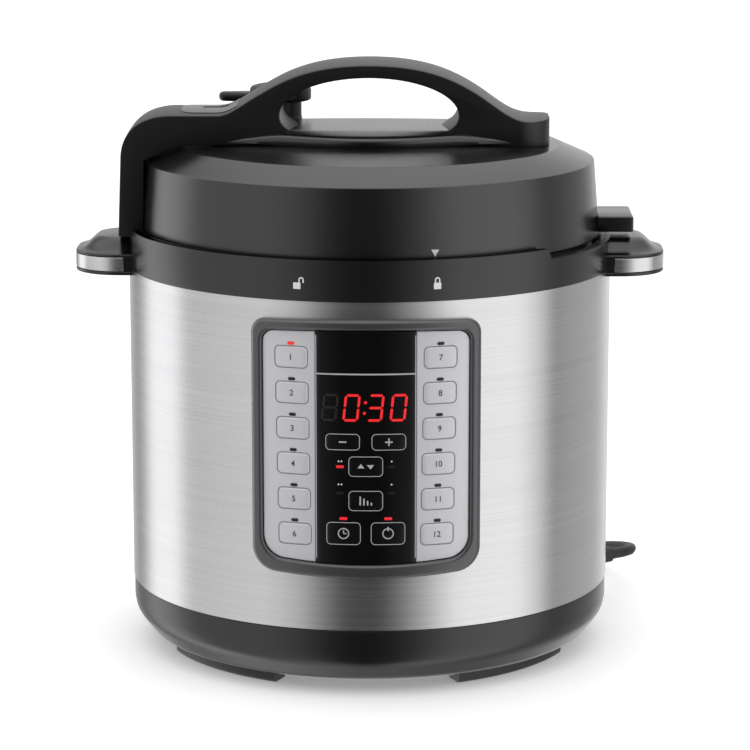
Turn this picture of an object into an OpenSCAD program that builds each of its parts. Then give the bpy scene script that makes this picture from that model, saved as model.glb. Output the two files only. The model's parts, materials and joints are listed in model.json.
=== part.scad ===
// Electric pressure cooker: a heated outer pot in a steel-sleeved body, a lift-out inner pot,
// and a lid that turns to lock. Millimetres, +Z up, front at -Y. The origin is on the pot's
// axis, on the surface that the feet stand on.

/* [Body] */
// Outer radius of the steel sleeve and of the top ring
body_r = 138; // [130:1:150]
// Height of the base, from the surface to the sleeve's lower edge
base_h = 38; // [34:0.2:44]
// Height of the steel sleeve
sleeve_h = 181.4; // [160:0.2:215]
// Thickness of the steel sleeve
sleeve_wall = 0.8; // [0.6:0.1:1.2]
// Height of the top ring, from the sleeve to its high lip
ring_h = 22.4; // [21.6:0.2:26]
// How far the lip drops where the lid's arm and fin travel
lip_drop = 5.6; // [4:0.2:7]
// Thickness of the moulded plastic walls
plastic_wall = 2.5; // [2:0.1:3]
// Height of the rubber feet
foot_h = 6; // [5:0.5:8]

/* [Inner pot] */
// Radial space between the sleeve and the pot's inside
pot_inset = 28; // [27:0.5:36]
// Thickness of the pot's wall
pot_wall = 1; // [0.8:0.1:1.4]
// Width of the pot's rim flange
pot_rim = 7; // [6:0.5:7]
// Height of the pot's bottom above the surface
pot_bottom = 60.7; // [58:0.1:72]
// Gap between the pot and the outer pot
pot_gap = 2.2; // [1.5:0.1:3]

/* [Lid] */
// Height of the lid above the high lip
lid_h = 49; // [46:0.5:60]
// Radial step from the top ring's outside to the lid's wall
lid_step = 5.8; // [5.6:0.1:8]
// Number of locking lugs
lug_n = 6; // [4:1:6]
// Width of one locking lug, in degrees
lug_deg = 26; // [20:1:28]
// Height that the lid is lifted to clear the body
lid_lift = 90; // [60:5:200]

/* [Lid handle] */
// Width of the arm and of the bar
bar_w = 56; // [48:1:60]
// How far the arm stands out beyond the sleeve
arm_out = 5.3; // [4.5:0.1:7]
// Height of the arm's shoulder above the lid
shoulder_h = 17; // [15:0.5:20]
// Height of the arch above the shoulder
arch_h = 28.3; // [26:0.1:32]
// Half the width of the grip opening
grip_half = 50.5; // [44:0.5:52]
// Reach of the round base plate to the front and rear
plate_reach = 50; // [44:1:54]

/* [Valves] */
// Place of the steam valve, to the left of the axis
valve_x = 53; // [50:1:56]
// Place of the steam valve, behind the axis
valve_y = 49; // [49:1:54]
// Radius of the steam valve's cap
cap_r = 18; // [15:0.5:19]
// Radius of the float valve's pin
float_r = 2.5; // [2:0.1:3]
// Rise of the float valve under pressure
float_rise = 5; // [3:0.5:5]

/* [Side handles] */
// How far each side handle stands out beyond the sleeve
handle_reach = 32; // [26:1:38]
// Width of each side handle
handle_w = 66; // [58:1:80]
// Height of each side handle's rim
handle_h = 12.7; // [12:0.1:16]

/* [Control panel] */
// Half the width of the bezel
bezel_half = 62; // [60:0.5:66]
// Width of the bezel's sides
bezel_side = 6.2; // [5:0.1:8]
// Height of the bezel above the sleeve's surface
bezel_out = 4.6; // [4:0.1:6]
// Half the width of the black window
window_half = 27; // [25:0.5:28]
// Width of a silver key
key_w = 18.6; // [16:0.1:19]
// Height of a silver key
key_h = 11.4; // [10:0.1:12]
// Clearance round a key
key_gap = 0.3; // [0.2:0.05:0.5]

/* [Condensate cup] */
// Width of the cup
cup_w = 52; // [44:1:60]
// Depth of the cup, front to rear
cup_d = 18; // [16:1:24]
// Height of the cup
cup_h = 45; // [36:1:60]

/* [Cord] */
// Diameter of the mains cord
cord_d = 6.5; // [6:0.1:7]

/* [Hidden] */
$fn = 96;

seat = 0.3;                          // gap at a seat between separate pieces
far = 400;                           // longer than anything that is cut
z_ring = base_h + sleeve_h;          // sleeve's top edge
z_lip = z_ring + ring_h;             // top ring's high lip
z_low = z_lip - lip_drop;            // top ring's low lip
z_lid0 = z_low + 0.6;                // lid wall's lower edge
z_lid = z_lip + lid_h;               // flat middle of the lid
lid_r = body_r - lid_step;           // lid wall's outside, at its lower edge

// Pot, lock ring and lid pan, from the inside outwards
pot_r = body_r - pot_inset;          // pot's inside
pot_out = pot_r + pot_wall;
rim_r = pot_out + pot_rim;
z_lock = z_ring + 10.2;              // underside of the lugs
lock_t = 2.3;
z_rim = z_lock + lock_t + seat;      // underside of the pot's rim
housing_r = pot_out + pot_gap;       // outer pot's inside
housing_wall = 1;
lock_in = housing_r + housing_wall + seat;
lock_out = rim_r + 1;
lug_r = lock_out + 5.5;
pan_in = lug_r + 2.4;
pan_out = pan_in + 1.6;
z_claw = z_ring + 5.2;
claw_t = 2.5;
z_pan = z_rim + pot_wall + 7.4;      // underside of the lid pan's plate
pan_t = 1.5;
floor_t = 2.4;                       // top ring's gutter floor
plate_r = pot_r - 15;                // heating plate
z_housing = pot_bottom - 14.7;       // outer pot's underside

// Left end of the arm, and the levels of the lid's handle
arm_x = body_r + arm_out;
z_shoulder = z_lid + shoulder_h;
tail_x = body_r - 34;
z_arm = z_low + 1.4;
inlay_t = 1.6;
float_x = arm_x - 55.8;              // float valve, to the left of the axis
float_hole = float_r + 0.6;
z_pin = z_shoulder - 9.5;            // top of the float valve's pin, at rest
post_r = 12.3;
z_cap = z_shoulder - 1;              // underside of the steam valve's cap
spindle_r = 4;
spindle_gap = 0.06;

// Control panel: outlines lie in the X-Z plane and are cut from shells about the Z axis
z_panel0 = base_h + 30.5;
z_panel1 = z_ring - 11.1;
field_half = bezel_half - bezel_side;
z_field0 = z_panel0 + 8.1;
z_field1 = z_panel1 - 6;
field_gap = 0.25;
field_bow = 1;                       // upward bow of the panel's top edges
field_sag = 2;                       // downward bow of its bottom edges
r_tray = body_r - 9;
r_back = body_r - 0.6;
r_strip = body_r + 2.6;
r_window = body_r + 2.9;
r_key = body_r + 3.05;
board_half = 46;
board_y = sqrt(pow(r_tray, 2) - pow(board_half, 2)) - 0.7;      // control board's front face
display_w = 48;
display_h = 26;
display_y = sqrt(pow(r_back, 2) - pow(display_w / 2, 2)) - 0.7; // display's front face
stem_r = 1.9;
rows = 6;
key_pitch = (z_panel1 - z_panel0 - 43.7) / (rows - 1);
key_reach = 40;                      // round the sleeve, from its front to the top silver keys
key_lean = 0.34;                     // how far the columns lean inwards, each row
pair_reach = 12.2;                   // round the sleeve, to the minus and plus keys
low_reach = 11.8;                    // and to the timer and start keys
function key_z(row) = z_panel1 - 21.2 - row * key_pitch;
function key_turn(row) = around(key_reach - key_lean * row);
function around(distance) = distance / body_r * 180 / PI;

// Each key: degrees right of the front, height, width, height of its face
black_w = 18.8;
silver = [for (side = [-1, 1], row = [0:rows - 1])
    [side * key_turn(row), key_z(row), key_w, key_h]];
black = [
    [-around(pair_reach), (key_z(2) + key_z(3)) / 2 + 3.2, black_w, 9.2],
    [around(pair_reach), (key_z(2) + key_z(3)) / 2 + 3.2, black_w, 9.2],
    [0, key_z(3), black_w, 11.3],
    [0, key_z(4), black_w, 11.3],
    [-around(low_reach), key_z(5) + 1.3, black_w, 12.7],
    [around(low_reach), key_z(5) + 1.3, black_w, 12.7],
];
keys = concat(silver, black);
display_z = (key_z(1) + key_z(2)) / 2 + 3;

// Base
tub_r = body_r - 0.4;
foot_out = body_r - 16.5;
foot_w = 14;
cover_r = foot_out - foot_w - 1;
cover_t = 2;
tub_hole = cover_r - 6;

// Condensate cup and its rails, behind the body
cup_y = body_r + 1.2;
cup_top = z_ring - 5.8;
lip_w = 3.6;
rail_x = cup_w / 2 + lip_w + 0.4;

// Cord: it leaves the base at the right, towards the rear
cord_turn = 26;
cord_z = 27;
boot_l = 24;
cord_r = cord_d / 2;
coil_at = [30, 225];
coil_mid = 36;
coil_base = 1;
coil_turns_wide = 2;
coil_turns_high = 2;
coil_in = coil_mid - coil_turns_wide * cord_r;
coil_out = coil_mid + coil_turns_wide * cord_r;
coil_h = coil_turns_high * cord_d;
run_points = [
    [123.7, 60.3, 27], [134.4, 65.6, 27], [145.2, 70.8, 27], [153.7, 77.5, 26.8],
    [158.2, 85.3, 26], [159.6, 94.2, 24.8], [158.4, 103.5, 23], [155, 115, 20.5],
    [150, 130, 16.8], [144, 145, 12.6], [136.5, 160, 8.4], [127.5, 173, 5.2],
    [116, 182.5, 3.8], [102, 188, 3.5], [86, 189.5, 3.7], [66, 188, 4],
    [48, 186.2, 4.25]
];
tail_points = [
    [14, 186, 10.6], [0, 187.6, 9.9], [-14, 190.4, 9], [-28, 194, 8.5], [-38, 197, 8.5]
];
plug_turn = 163;

// Points on an arc, and on a curve with two handles
function arc(c, r, a, b, n = 6) =
    [for (i = [0:n]) let (t = a + (b - a) * i / n) [c[0] + r * cos(t), c[1] + r * sin(t)]];
function curve(p, ph, qh, q, n = 8) = [for (i = [0:n]) let (t = i / n, u = 1 - t)
    u * u * u * p + 3 * u * u * t * ph + 3 * u * t * t * qh + t * t * t * q];
function flip(points) = [for (i = [len(points) - 1:-1:0]) [-points[i][0], points[i][1]]];
function rounded(w, h, r) = concat(
    arc([w / 2 - r, h / 2 - r], r, 0, 90), arc([r - w / 2, h / 2 - r], r, 90, 180),
    arc([r - w / 2, r - h / 2], r, 180, 270), arc([w / 2 - r, r - h / 2], r, 270, 360));
function field(half, z0, z1, r0, r1) = let (
    top = half - r1,
    low = half - r0
) concat(
    arc([half - r0, z0 + r0], r0, 270, 360), arc([half - r1, z1 - r1], r1, 0, 90),
    [for (x = [0.6, 0.2, -0.2, -0.6]) [x * top, z1 + field_bow * (1 - x * x)]],
    arc([r1 - half, z1 - r1], r1, 90, 180), arc([r0 - half, z0 + r0], r0, 180, 270),
    [for (x = [-0.6, -0.2, 0.2, 0.6]) [x * low, z0 - field_sag * (1 - x * x)]]);

// A ring about the Z axis between two radii and two heights
module tube(r0, r1, z0, z1) {
    translate([0, 0, z0]) difference() {
        cylinder(r = r1, h = z1 - z0);
        translate([0, 0, -1]) cylinder(r = r0, h = z1 - z0 + 2);
    }
}

// A part of a ring, from angle a over the given sweep
module sector(r0, r1, z0, z1, a, sweep) {
    rotate([0, 0, a]) rotate_extrude(angle = sweep)
        translate([r0, z0]) square([r1 - r0, z1 - z0]);
}

// An outline in the X-Z plane, carried forwards through the front of the body
module forwards(points) {
    rotate([90, 0, 0]) translate([0, 0, body_r / 2]) linear_extrude(body_r) polygon(points);
}

// The same outline cut from a shell between two radii
module on_front(points, r0, r1) {
    intersection() {
        forwards(points);
        tube(r0, r1, 0, z_lid);
    }
}

// Outlines of the panel's field, grown or shrunk by g
function field_points(g) = field(field_half + g, z_field0 - g, z_field1 + g, 12 + g, 6 + g);

module around_keys(list, gap, r0, r1) {
    for (k = list) rotate([0, 0, k[0]]) translate([0, 0, k[1]])
        on_front_piece(rounded(k[2] + 2 * gap, k[3] + 2 * gap, 2.5 + gap), r0, r1);
}

// A small outline about Z = 0, cut from a shell between two radii
module on_front_piece(points, r0, r1) {
    intersection() {
        forwards(points);
        tube(r0, r1, -20, 20);
    }
}

module key(i) {
    k = keys[i];
    color(i < len(silver) ? "silver" : "#222222") rotate([0, 0, k[0]]) translate([0, 0, k[1]]) {
        on_front_piece(rounded(k[2], k[3], 2.5), r_back + 0.4, r_key);
        end = (board_y + 1.9) / cos(k[0]);
        translate([0, -end, 0]) rotate([90, 0, 0]) cylinder(r = stem_r, h = r_back + 1.5 - end);
    }
}

module base_tub() {
    color("#1b1c1e") {
        difference() {
            rotate_extrude() polygon([
                [tub_hole, foot_h], [foot_out + 1.5, foot_h], [tub_r - 9.9, foot_h + 1.8],
                [tub_r - 6.6, foot_h + 6], [tub_r - 3.1, foot_h + 10.4],
                [tub_r - 1.1, foot_h + 13.3], [tub_r, foot_h + 18], [tub_r, base_h],
                [body_r - 1, base_h], [body_r - 1, base_h + 5], [tub_r - plastic_wall - 0.6, base_h + 5],
                [tub_r - plastic_wall, foot_h + 18.2], [tub_r - plastic_wall - 3.4, foot_h + 11.6],
                [tub_r - plastic_wall - 7.6, foot_h + 6.6],
                [foot_out, foot_h + plastic_wall], [tub_hole, foot_h + plastic_wall]
            ]);
            rotate([0, 0, cord_turn]) translate([body_r - 20, 0, cord_z])
                rotate([0, 90, 0]) cylinder(r = 6, h = 40);
            for (a = [45:90:315]) rotate([0, 0, a]) translate([cover_r - 3, 0, 0])
                cylinder(r = 1.6, h = base_h);
        }
    }
}

module base_cover() {
    color("#26272a") {
        difference() {
            translate([0, 0, foot_h - seat - cover_t]) cylinder(r = cover_r, h = cover_t);
            for (a = [45:90:315]) rotate([0, 0, a]) translate([cover_r - 3, 0, 0])
                cylinder(r = 1.8, h = base_h);
            for (i = [-4:4]) translate([i * 9 - 2, -72, 0]) cube([4, 44, base_h]);
        }
        for (p = [[-38, -16], [38, -16], [-38, 46], [38, 46]])
            translate([p[0], p[1], foot_h - seat - 0.5]) cylinder(r = 3.5, h = 8.5);
    }
}

module feet() {
    color("#141414") for (a = [45:90:315])
        sector(foot_out - foot_w, foot_out, 0, foot_h, a - 20, 40);
}

module base_screws() {
    color("gray") for (a = [45:90:315]) rotate([0, 0, a]) translate([cover_r - 3, 0, 0]) {
        translate([0, 0, foot_h - seat - cover_t - 1.8]) cylinder(r = 3, h = 1.7);
        translate([0, 0, foot_h - seat - cover_t - 0.2]) cylinder(r = 1.5, h = 9);
    }
}

module outer_shell() {
    color("#b9babb") difference() {
        tube(body_r - sleeve_wall, body_r, base_h, z_ring);
        forwards(field_points(2.3));
    }
}

// Angles that the low lip covers: the arm's travel at the left, the fin's at the right
arm_zone = [135, 193];
fin_zone = [-44, 14];
bracket_half = rail_x + 2;

module top_ring() {
    wall_in = body_r - 5;
    color("#1b1c1e") {
        difference() {
            union() {
                difference() {
                    tube(wall_in, body_r, z_ring, z_lip);
                    for (zone = [arm_zone, fin_zone])
                        sector(wall_in - 2, body_r + 2, z_low, z_lip + 1, zone[0], zone[1] - zone[0]);
                }
                tube(lock_out + seat, wall_in + 1, z_ring, z_ring + floor_t);
                tube(body_r - 1 - plastic_wall, body_r - 1, z_ring - 6, z_ring + 1);
                translate([-bracket_half, wall_in - 2, z_ring])
                    cube([2 * bracket_half, cup_y + 11 - wall_in, floor_t]);
            }
            translate([0, cup_y + 5, z_ring - 1]) cylinder(r = 3, h = floor_t + 2);
        }
        // Rails that the condensate cup hangs on
        for (side = [-1, 1]) scale([side, 1, 1]) {
            translate([rail_x, cup_y, cup_top - 5]) cube([2, 9, z_ring - cup_top + 5.5]);
            translate([rail_x - lip_w + 0.4, cup_y, cup_top - 5]) cube([lip_w, 9, 2]);
        }
    }
}

module cup_outline(w, d) {
    translate([-w / 2, 0]) square([w, d]);
}

module condensate_cup() {
    wall = 1.5;
    color("#d9dcde") {
        difference() {
            translate([0, cup_y, cup_top - cup_h]) linear_extrude(cup_h) cup_outline(cup_w, cup_d);
            translate([0, cup_y + wall, cup_top - cup_h + wall])
                linear_extrude(cup_h) cup_outline(cup_w - 2 * wall, cup_d - 2 * wall);
        }
        for (side = [-1, 1]) scale([side, 1, 1])
            translate([cup_w / 2 - 0.5, cup_y, cup_top - 2.6]) cube([lip_w + 0.5, 9, 2]);
    }
}

// Plan of the right side handle, drawn in by g
function handle_plan(g) = let (r = 26, half = handle_w / 2 - g, x = body_r + handle_reach - g)
    concat([[body_r / 2, -half]], arc([x - r + g, -(handle_w / 2 - r)], r - g, -90, 0),
        arc([x - r + g, handle_w / 2 - r], r - g, 0, 90), [[body_r / 2, half]]);

trim_z0 = z_ring;
trim_h = 7.8;
trim_t = 0.8;
handle_z0 = z_ring - 3.8;

module side_handle() {
    top = z_low - seat;
    color("#1b1c1e") difference() {
        union() {
            translate([0, 0, handle_z0]) linear_extrude(handle_h) polygon(handle_plan(0));
            intersection() {
                rotate([90, 0, 90]) linear_extrude(body_r + handle_reach - 11) polygon([
                    [-handle_w / 2 + 3, handle_z0 + 1], [handle_w / 2 - 3, handle_z0 + 1],
                    [handle_w / 2 - 3, handle_z0 + handle_h - 0.2],
                    [handle_w / 2 - 8, top], [8 - handle_w / 2, top],
                    [3 - handle_w / 2, handle_z0 + handle_h - 0.2]
                ]);
                rotate([90, 0, 0]) translate([0, 0, -far / 2]) linear_extrude(far) polygon([
                    [body_r / 2, handle_z0], [body_r + handle_reach - 7, handle_z0],
                    [body_r + handle_reach - 8, handle_z0 + handle_h],
                    [body_r + handle_reach - 14, top], [body_r / 2, top]
                ]);
            }
        }
        cylinder(r = body_r + 0.2, h = far);
        translate([0, 0, trim_z0 - 0.2]) linear_extrude(trim_h + 0.4) difference() {
            polygon(handle_plan(-5));
            polygon(handle_plan(trim_t + 0.2));
        }
    }
}

module side_trim() {
    color("#b9babb") difference() {
        translate([0, 0, trim_z0]) linear_extrude(trim_h) difference() {
            polygon(handle_plan(0));
            polygon(handle_plan(trim_t));
        }
        cylinder(r = body_r + 0.4, h = far);
    }
}

module handle_right() { side_handle(); }
module handle_left() { rotate([0, 0, 180]) side_handle(); }
module trim_right() { side_trim(); }
module trim_left() { rotate([0, 0, 180]) side_trim(); }

module outer_pot() {
    color("#8f9294") difference() {
        union() {
            tube(housing_r, housing_r + housing_wall, z_housing, z_lock - seat);
            tube(10, housing_r + 0.5, z_housing, z_housing + 1.2);
        }
        for (a = [30:120:270]) rotate([0, 0, a]) translate([70, 0, 0]) cylinder(r = 2.2, h = far);
    }
}

module lock_ring() {
    lug_gap = 360 / lug_n - lug_deg;
    color("#a9abac") {
        tube(lock_in, lock_out - 0.2, z_ring, z_lock + 0.1);
        difference() {
            tube(housing_r + 0.2, lug_r, z_lock, z_lock + lock_t);
            for (i = [0:lug_n - 1])
                sector(lock_out, lug_r + 2, z_lock - 1, z_lock + lock_t + 1,
                    i * 360 / lug_n + lug_deg / 2, lug_gap);
        }
    }
}

module heating_plate() {
    color("#9a9c9d") {
        tube(14.5, plate_r, pot_bottom - 10.7, pot_bottom - seat);
        for (a = [30:120:270]) rotate([0, 0, a]) translate([70, 0, z_housing + 1.2 + 0.1])
            cylinder(r = 5, h = pot_bottom - 10.2 - z_housing - 1.2);
        for (a = [30:120:270]) rotate([0, 0, a]) translate([70, 0, z_housing - 3])
            cylinder(r = 2, h = 6);
    }
}

sensor_r = 12.5;
sensor_top = pot_bottom - seat;
spring_z = z_housing + 1.4;

module sensor_cap() {
    color("#c4c6c7") difference() {
        translate([0, 0, sensor_top - 7]) cylinder(r = sensor_r, h = 7);
        translate([0, 0, sensor_top - 8]) cylinder(r = sensor_r - 1.2, h = 6.6);
    }
}

module sensor_spring() {
    wire = 0.7;
    coil_r = sensor_r - 2.4;
    turns = 4;
    low = spring_z + wire;
    rise = sensor_top - 2 - wire - low;
    color("gray") swept([for (i = [0:turns * 14]) let (a = i * 360 / 14)
        [coil_r * cos(a), coil_r * sin(a), low + rise * i / (turns * 14)]], wire, 6);
}

module pressure_switch() {
    color("#555555") translate([-44, 0, z_housing - 12.2]) {
        cylinder(r = 9, h = 12);
        translate([-6, -3, -6]) cube([2, 6, 7]);
        translate([4, -3, -6]) cube([2, 6, 7]);
    }
}

module power_board() {
    color("#6b4a1e") {
        translate([-44, -22, foot_h + 8]) cube([88, 74, 1.6]);
        translate([-36, -14, foot_h + 9.4]) cube([20, 16, 15]);
        translate([-8, -14, foot_h + 9.4]) cube([26, 22, 20]);
        translate([24, 10, foot_h + 9.4]) cylinder(r = 6, h = 18);
        translate([-30, 20, foot_h + 9.4]) cube([40, 20, 12]);
    }
}

module control_board() {
    color("#1d5a33") translate([-board_half, -board_y, z_field0 + 2])
        cube([2 * board_half, 1.6, z_field1 - z_field0 - 4]);
}

module display_module() {
    color("#301010") translate([-display_w / 2, -display_y, display_z - display_h / 2])
        cube([display_w, display_y - board_y - 0.1, display_h]);
}

module panel_bezel() {
    color("#3c3d3f") {
        difference() {
            on_front(field(bezel_half, z_panel0, z_panel1, 15, 8), body_r + 0.1, body_r + bezel_out);
            forwards(field_points(0));
        }
        difference() {
            on_front(field_points(2), r_tray, body_r + 1);
            on_front(field_points(0), r_tray + 1.6, body_r + 2);
            for (k = keys) rotate([0, 0, k[0]]) translate([0, -body_r / 2, k[1]])
                rotate([90, 0, 0]) cylinder(r = stem_r + 0.4, h = body_r);
            translate([-display_w / 2 - 1, -body_r, display_z - display_h / 2 - 1])
                cube([display_w + 2, 30, display_h + 2]);
        }
    }
}

module strip(side) {
    inner = window_half + field_gap;
    list = [for (k = silver) if (k[0] * side > 0) k];
    color("#b4b5b6") difference() {
        intersection() {
            on_front(field_points(-field_gap), r_back, r_strip);
            translate([side > 0 ? inner : -far, -far, 0]) cube([far - inner, far, far]);
        }
        around_keys(list, key_gap, r_back - 1, r_strip + 1);
    }
}

module strip_left() { strip(-1); }
module strip_right() { strip(1); }

module panel_window() {
    color("#0b0b0d") difference() {
        intersection() {
            on_front(field_points(-field_gap), r_back, r_window);
            translate([-window_half, -far, 0]) cube([2 * window_half, far, far]);
        }
        around_keys(black, key_gap, r_back - 1, r_window + 1);
    }
}

// The lid's outer surface, grown by g
module lid_solid(g) {
    rotate_extrude() polygon([
        [0, z_lid0 - g], [lid_r + g, z_lid0 - g], [lid_r - 1 + g, z_lip + 13.8],
        [lid_r - 2.8 + g, z_lid - 11.7], [lid_r - 23.2, z_lid - 2.9 + g], [50, z_lid + g],
        [0, z_lid + g]
    ]);
}

boss_at = [for (a = [60, 180, 300]) [a, lid_r - 60]];
fin_half = 21;

module lid_cover() {
    inner = lid_r - plastic_wall;
    color("#1b1c1e") {
        difference() {
            lid_solid(0);
            rotate_extrude() polygon([
                [0, z_lid0 - 1], [inner, z_lid0 - 1], [inner - 3, z_lid - 13.4],
                [inner - 23.4, z_lid - 5.6], [50, z_lid - 3], [0, z_lid - 3]
            ]);
            translate([-float_x, 0, 0]) cylinder(r = float_hole, h = far);
            translate([-valve_x, valve_y, 0]) cylinder(r = spindle_r + 0.3, h = far);
        }
        for (b = boss_at) rotate([0, 0, b[0]]) translate([b[1], 0, z_pan + pan_t + 0.1])
            difference() {
                cylinder(r = 5, h = z_lid - 3.4 - z_pan - pan_t);
                translate([0, 0, -1]) cylinder(r = 1.6, h = 21);
            }
        // Fin over the right side handle
        difference() {
            translate([lid_r - 6, -fin_half, z_low + 4.4]) cube([24, 2 * fin_half, 8]);
            translate([0, 0, z_low]) cylinder(r = lid_r - 1.5, h = 14);
        }
    }
}

// Outline of the lid's handle, seen from the front
arch_half = 60;
function shoulder_line(d) = concat(
    [[-arm_x + 31, z_shoulder - d]],
    curve([-86, z_shoulder - d], [-78, z_shoulder - d], [-72 + d / 2, z_shoulder + 6.5 - d],
        [-arch_half + d / 2, z_shoulder + 12.9 - d]));
function arm_line() = concat(
    [[-arm_x, z_arm]],
    curve([-arm_x + 2.8, z_shoulder - 24], [-arm_x + 4, z_shoulder - 9],
        [-arm_x + 14, z_shoulder - 0.5], [-arm_x + 30, z_shoulder]));
function arch_line() = curve([-arch_half, z_shoulder + 12.9], [-46, z_shoulder + 21.5],
    [-30, z_shoulder + arch_h], [0, z_shoulder + arch_h]);
function tail_line() = concat(
    curve([arch_half, z_shoulder + 12.9], [72, z_shoulder + 5.5], [80, z_shoulder - 4],
        [93, z_shoulder - 3.8]),
    [[tail_x, z_shoulder - 3.7]]);
function handle_outline() = concat(arm_line(), shoulder_line(0), arch_line(),
    flip(arch_line()), tail_line(),
    [[tail_x, z_lid - 4], [30 - body_r, z_lid - 4], [30 - body_r, z_arm]]);
z_grip = z_lid + 7.5;
grip_spring = z_shoulder - 0.2;      // where the opening is widest
function grip_outline() = concat(
    [for (a = [0:12:180]) [grip_half * cos(a), grip_spring + (arch_h - 7) * sin(a)]],
    [for (a = [195:15:270]) [(grip_half - 10) * -1 + 10 * cos(a),
        grip_spring + (grip_spring - z_grip) * sin(a)]],
    [for (a = [270:15:345]) [grip_half - 10 + 10 * cos(a),
        grip_spring + (grip_spring - z_grip) * sin(a)]]);

// Carries an outline in the X-Z plane equally to the front and the rear
module across(points, w) {
    rotate([90, 0, 0]) translate([0, 0, -w / 2]) linear_extrude(w) polygon(points);
}

plate_r_big = 112;
module lid_handle() {
    end_r = 20;
    plate_off = plate_r_big - plate_reach;
    color("#1e1f21") difference() {
        union() {
            intersection() {
                across(handle_outline(), bar_w);
                linear_extrude(far) polygon(concat([[-far, -bar_w / 2]],
                    arc([tail_x - end_r, end_r - bar_w / 2], end_r, -90, 0),
                    arc([tail_x - end_r, bar_w / 2 - end_r], end_r, 0, 90),
                    [[-far, bar_w / 2]]));
            }
            intersection() {
                translate([0, plate_off, z_lid - 4]) cylinder(r = plate_r_big, h = 10.3);
                translate([0, -plate_off, z_lid - 5]) cylinder(r = plate_r_big, h = 12.3);
            }
        }
        across(grip_outline(), far);
        lid_solid(0.1);
        across(concat(shoulder_line(-1), [for (i = [9:-1:0]) shoulder_line(inlay_t + 0.2)[i]]),
            bar_w - 14);
        translate([-float_x, 0, 0]) cylinder(r = float_hole, h = far);
        translate([-valve_x, valve_y, 0]) cylinder(r = post_r + 0.5, h = far);
    }
}

module handle_inlay() {
    color("#2b2c2f") difference() {
        across(concat(shoulder_line(0), [for (i = [9:-1:0]) shoulder_line(inlay_t)[i]]),
            bar_w - 14.6);
        translate([-float_x, 0, 0]) linear_extrude(far) polygon(rounded(15, 7, 3.4));
    }
}

module lid_pan() {
    color("#b4b6b7") difference() {
        union() {
            translate([0, 0, z_pan]) cylinder(r = pan_out, h = pan_t);
            tube(pan_in, pan_out, z_claw, z_pan + 0.5);
            for (i = [0:lug_n - 1])
                sector(lug_r - 4, pan_in + 0.5, z_claw, z_claw + claw_t,
                    i * 360 / lug_n - lug_deg / 2, lug_deg);
        }
        translate([-float_x, 0, 0]) cylinder(r = float_hole, h = far);
        translate([-valve_x, valve_y, 0]) cylinder(r = spindle_r + 0.3, h = far);
        for (b = boss_at) rotate([0, 0, b[0]]) translate([b[1], 0, 0])
            cylinder(r = 1.8, h = far);
    }
}

module lid_screws() {
    color("gray") for (b = boss_at) rotate([0, 0, b[0]]) translate([b[1], 0, 0]) {
        translate([0, 0, z_pan - 1.9]) cylinder(r = 3.2, h = 1.8);
        translate([0, 0, z_pan - 0.2]) cylinder(r = 1.5, h = 16);
    }
}

rack_wire = 1.5;
seal_in = pot_r - 2.5;
module seal_rack() {
    color("#b4b6b7") rotate_extrude()
        translate([seal_in - 0.5 - rack_wire, z_pan - seat - rack_wire]) circle(r = rack_wire);
}

module sealing_ring() {
    z0 = z_rim + pot_wall + seat;
    z1 = z_pan - seat;
    color("#e4e2dc") rotate_extrude() polygon([
        [seal_in, z0 + 1.2], [seal_in + 1.2, z0], [rim_r, z0], [rim_r + 1, z0 + 1],
        [rim_r + 1, z1 - 1], [rim_r, z1], [seal_in + 1.2, z1], [seal_in, z1 - 1.2],
        [seal_in + 1.6, z1 - 2.2], [rim_r - 3, z1 - 2.6], [rim_r - 3, z0 + 2.6],
        [seal_in + 1.6, z0 + 2.2]
    ]);
}

module inner_pot() {
    color("#c2c4c5") rotate_extrude() polygon(concat(
        [[0, pot_bottom]],
        arc([pot_out - 12, pot_bottom + 12], 12, -90, 0, 5),
        [[pot_out, z_rim], [rim_r, z_rim], [rim_r, z_rim + pot_wall],
         [pot_r, z_rim + pot_wall]],
        arc([pot_r - 11, pot_bottom + pot_wall + 11], 11, 0, -90, 5),
        [[0, pot_bottom + pot_wall]]));
}

module valve_post() {
    color("#2b2c2f") translate([-valve_x, valve_y, 0]) difference() {
        union() {
            difference() {
                translate([0, 0, z_lid - 4]) cylinder(r = post_r, h = z_cap - seat - z_lid + 4);
                translate([valve_x, -valve_y, 0]) lid_solid(0.1);
            }
            translate([0, 0, z_pan - 5]) cylinder(r = spindle_r, h = z_cap + 3.5 - z_pan + 5);
        }
        cylinder(r = 1.5, h = far);
    }
}

lever_w = 11;
module steam_valve() {
    color("#1b1c1e") translate([-valve_x, valve_y, z_cap]) difference() {
        union() {
            cylinder(r = cap_r, h = 8.3);
            translate([0, 0, 8.2]) cylinder(r1 = cap_r - 1.5, r2 = cap_r - 8, h = 2);
            translate([-cap_r - 17, -lever_w / 2, 0]) cube([cap_r + 17, lever_w, 4.6]);
        }
        translate([0, 0, -1]) cylinder(r = spindle_r + spindle_gap, h = 5);
    }
}

module float_valve() {
    color("#b03030") translate([-float_x, 0, 0]) {
        translate([0, 0, z_pan - 7.5]) cylinder(r = float_r, h = z_pin - z_pan + 7.5);
        translate([0, 0, z_pan - 7.5]) cylinder(r = 5, h = 2);
        translate([0, 0, z_pan + pan_t + seat]) cylinder(r = 4, h = 1);
    }
}

// Cord and plug
module cord_boot() {
    inside = 5.8;
    color("#151515") rotate([0, 0, cord_turn])
        translate([tub_r - plastic_wall - inside, 0, cord_z]) rotate([0, 90, 0]) difference() {
            union() {
                cylinder(r = 7.4, h = 2.4);
                cylinder(r = 5.8, h = plastic_wall + inside + 1);
                translate([0, 0, plastic_wall + inside + 0.2]) cylinder(r1 = 6.4, r2 = 4.6, h = boot_l);
            }
            translate([0, 0, -1]) cylinder(r = cord_r + 0.05, h = boot_l + 20);
        }
}

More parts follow.
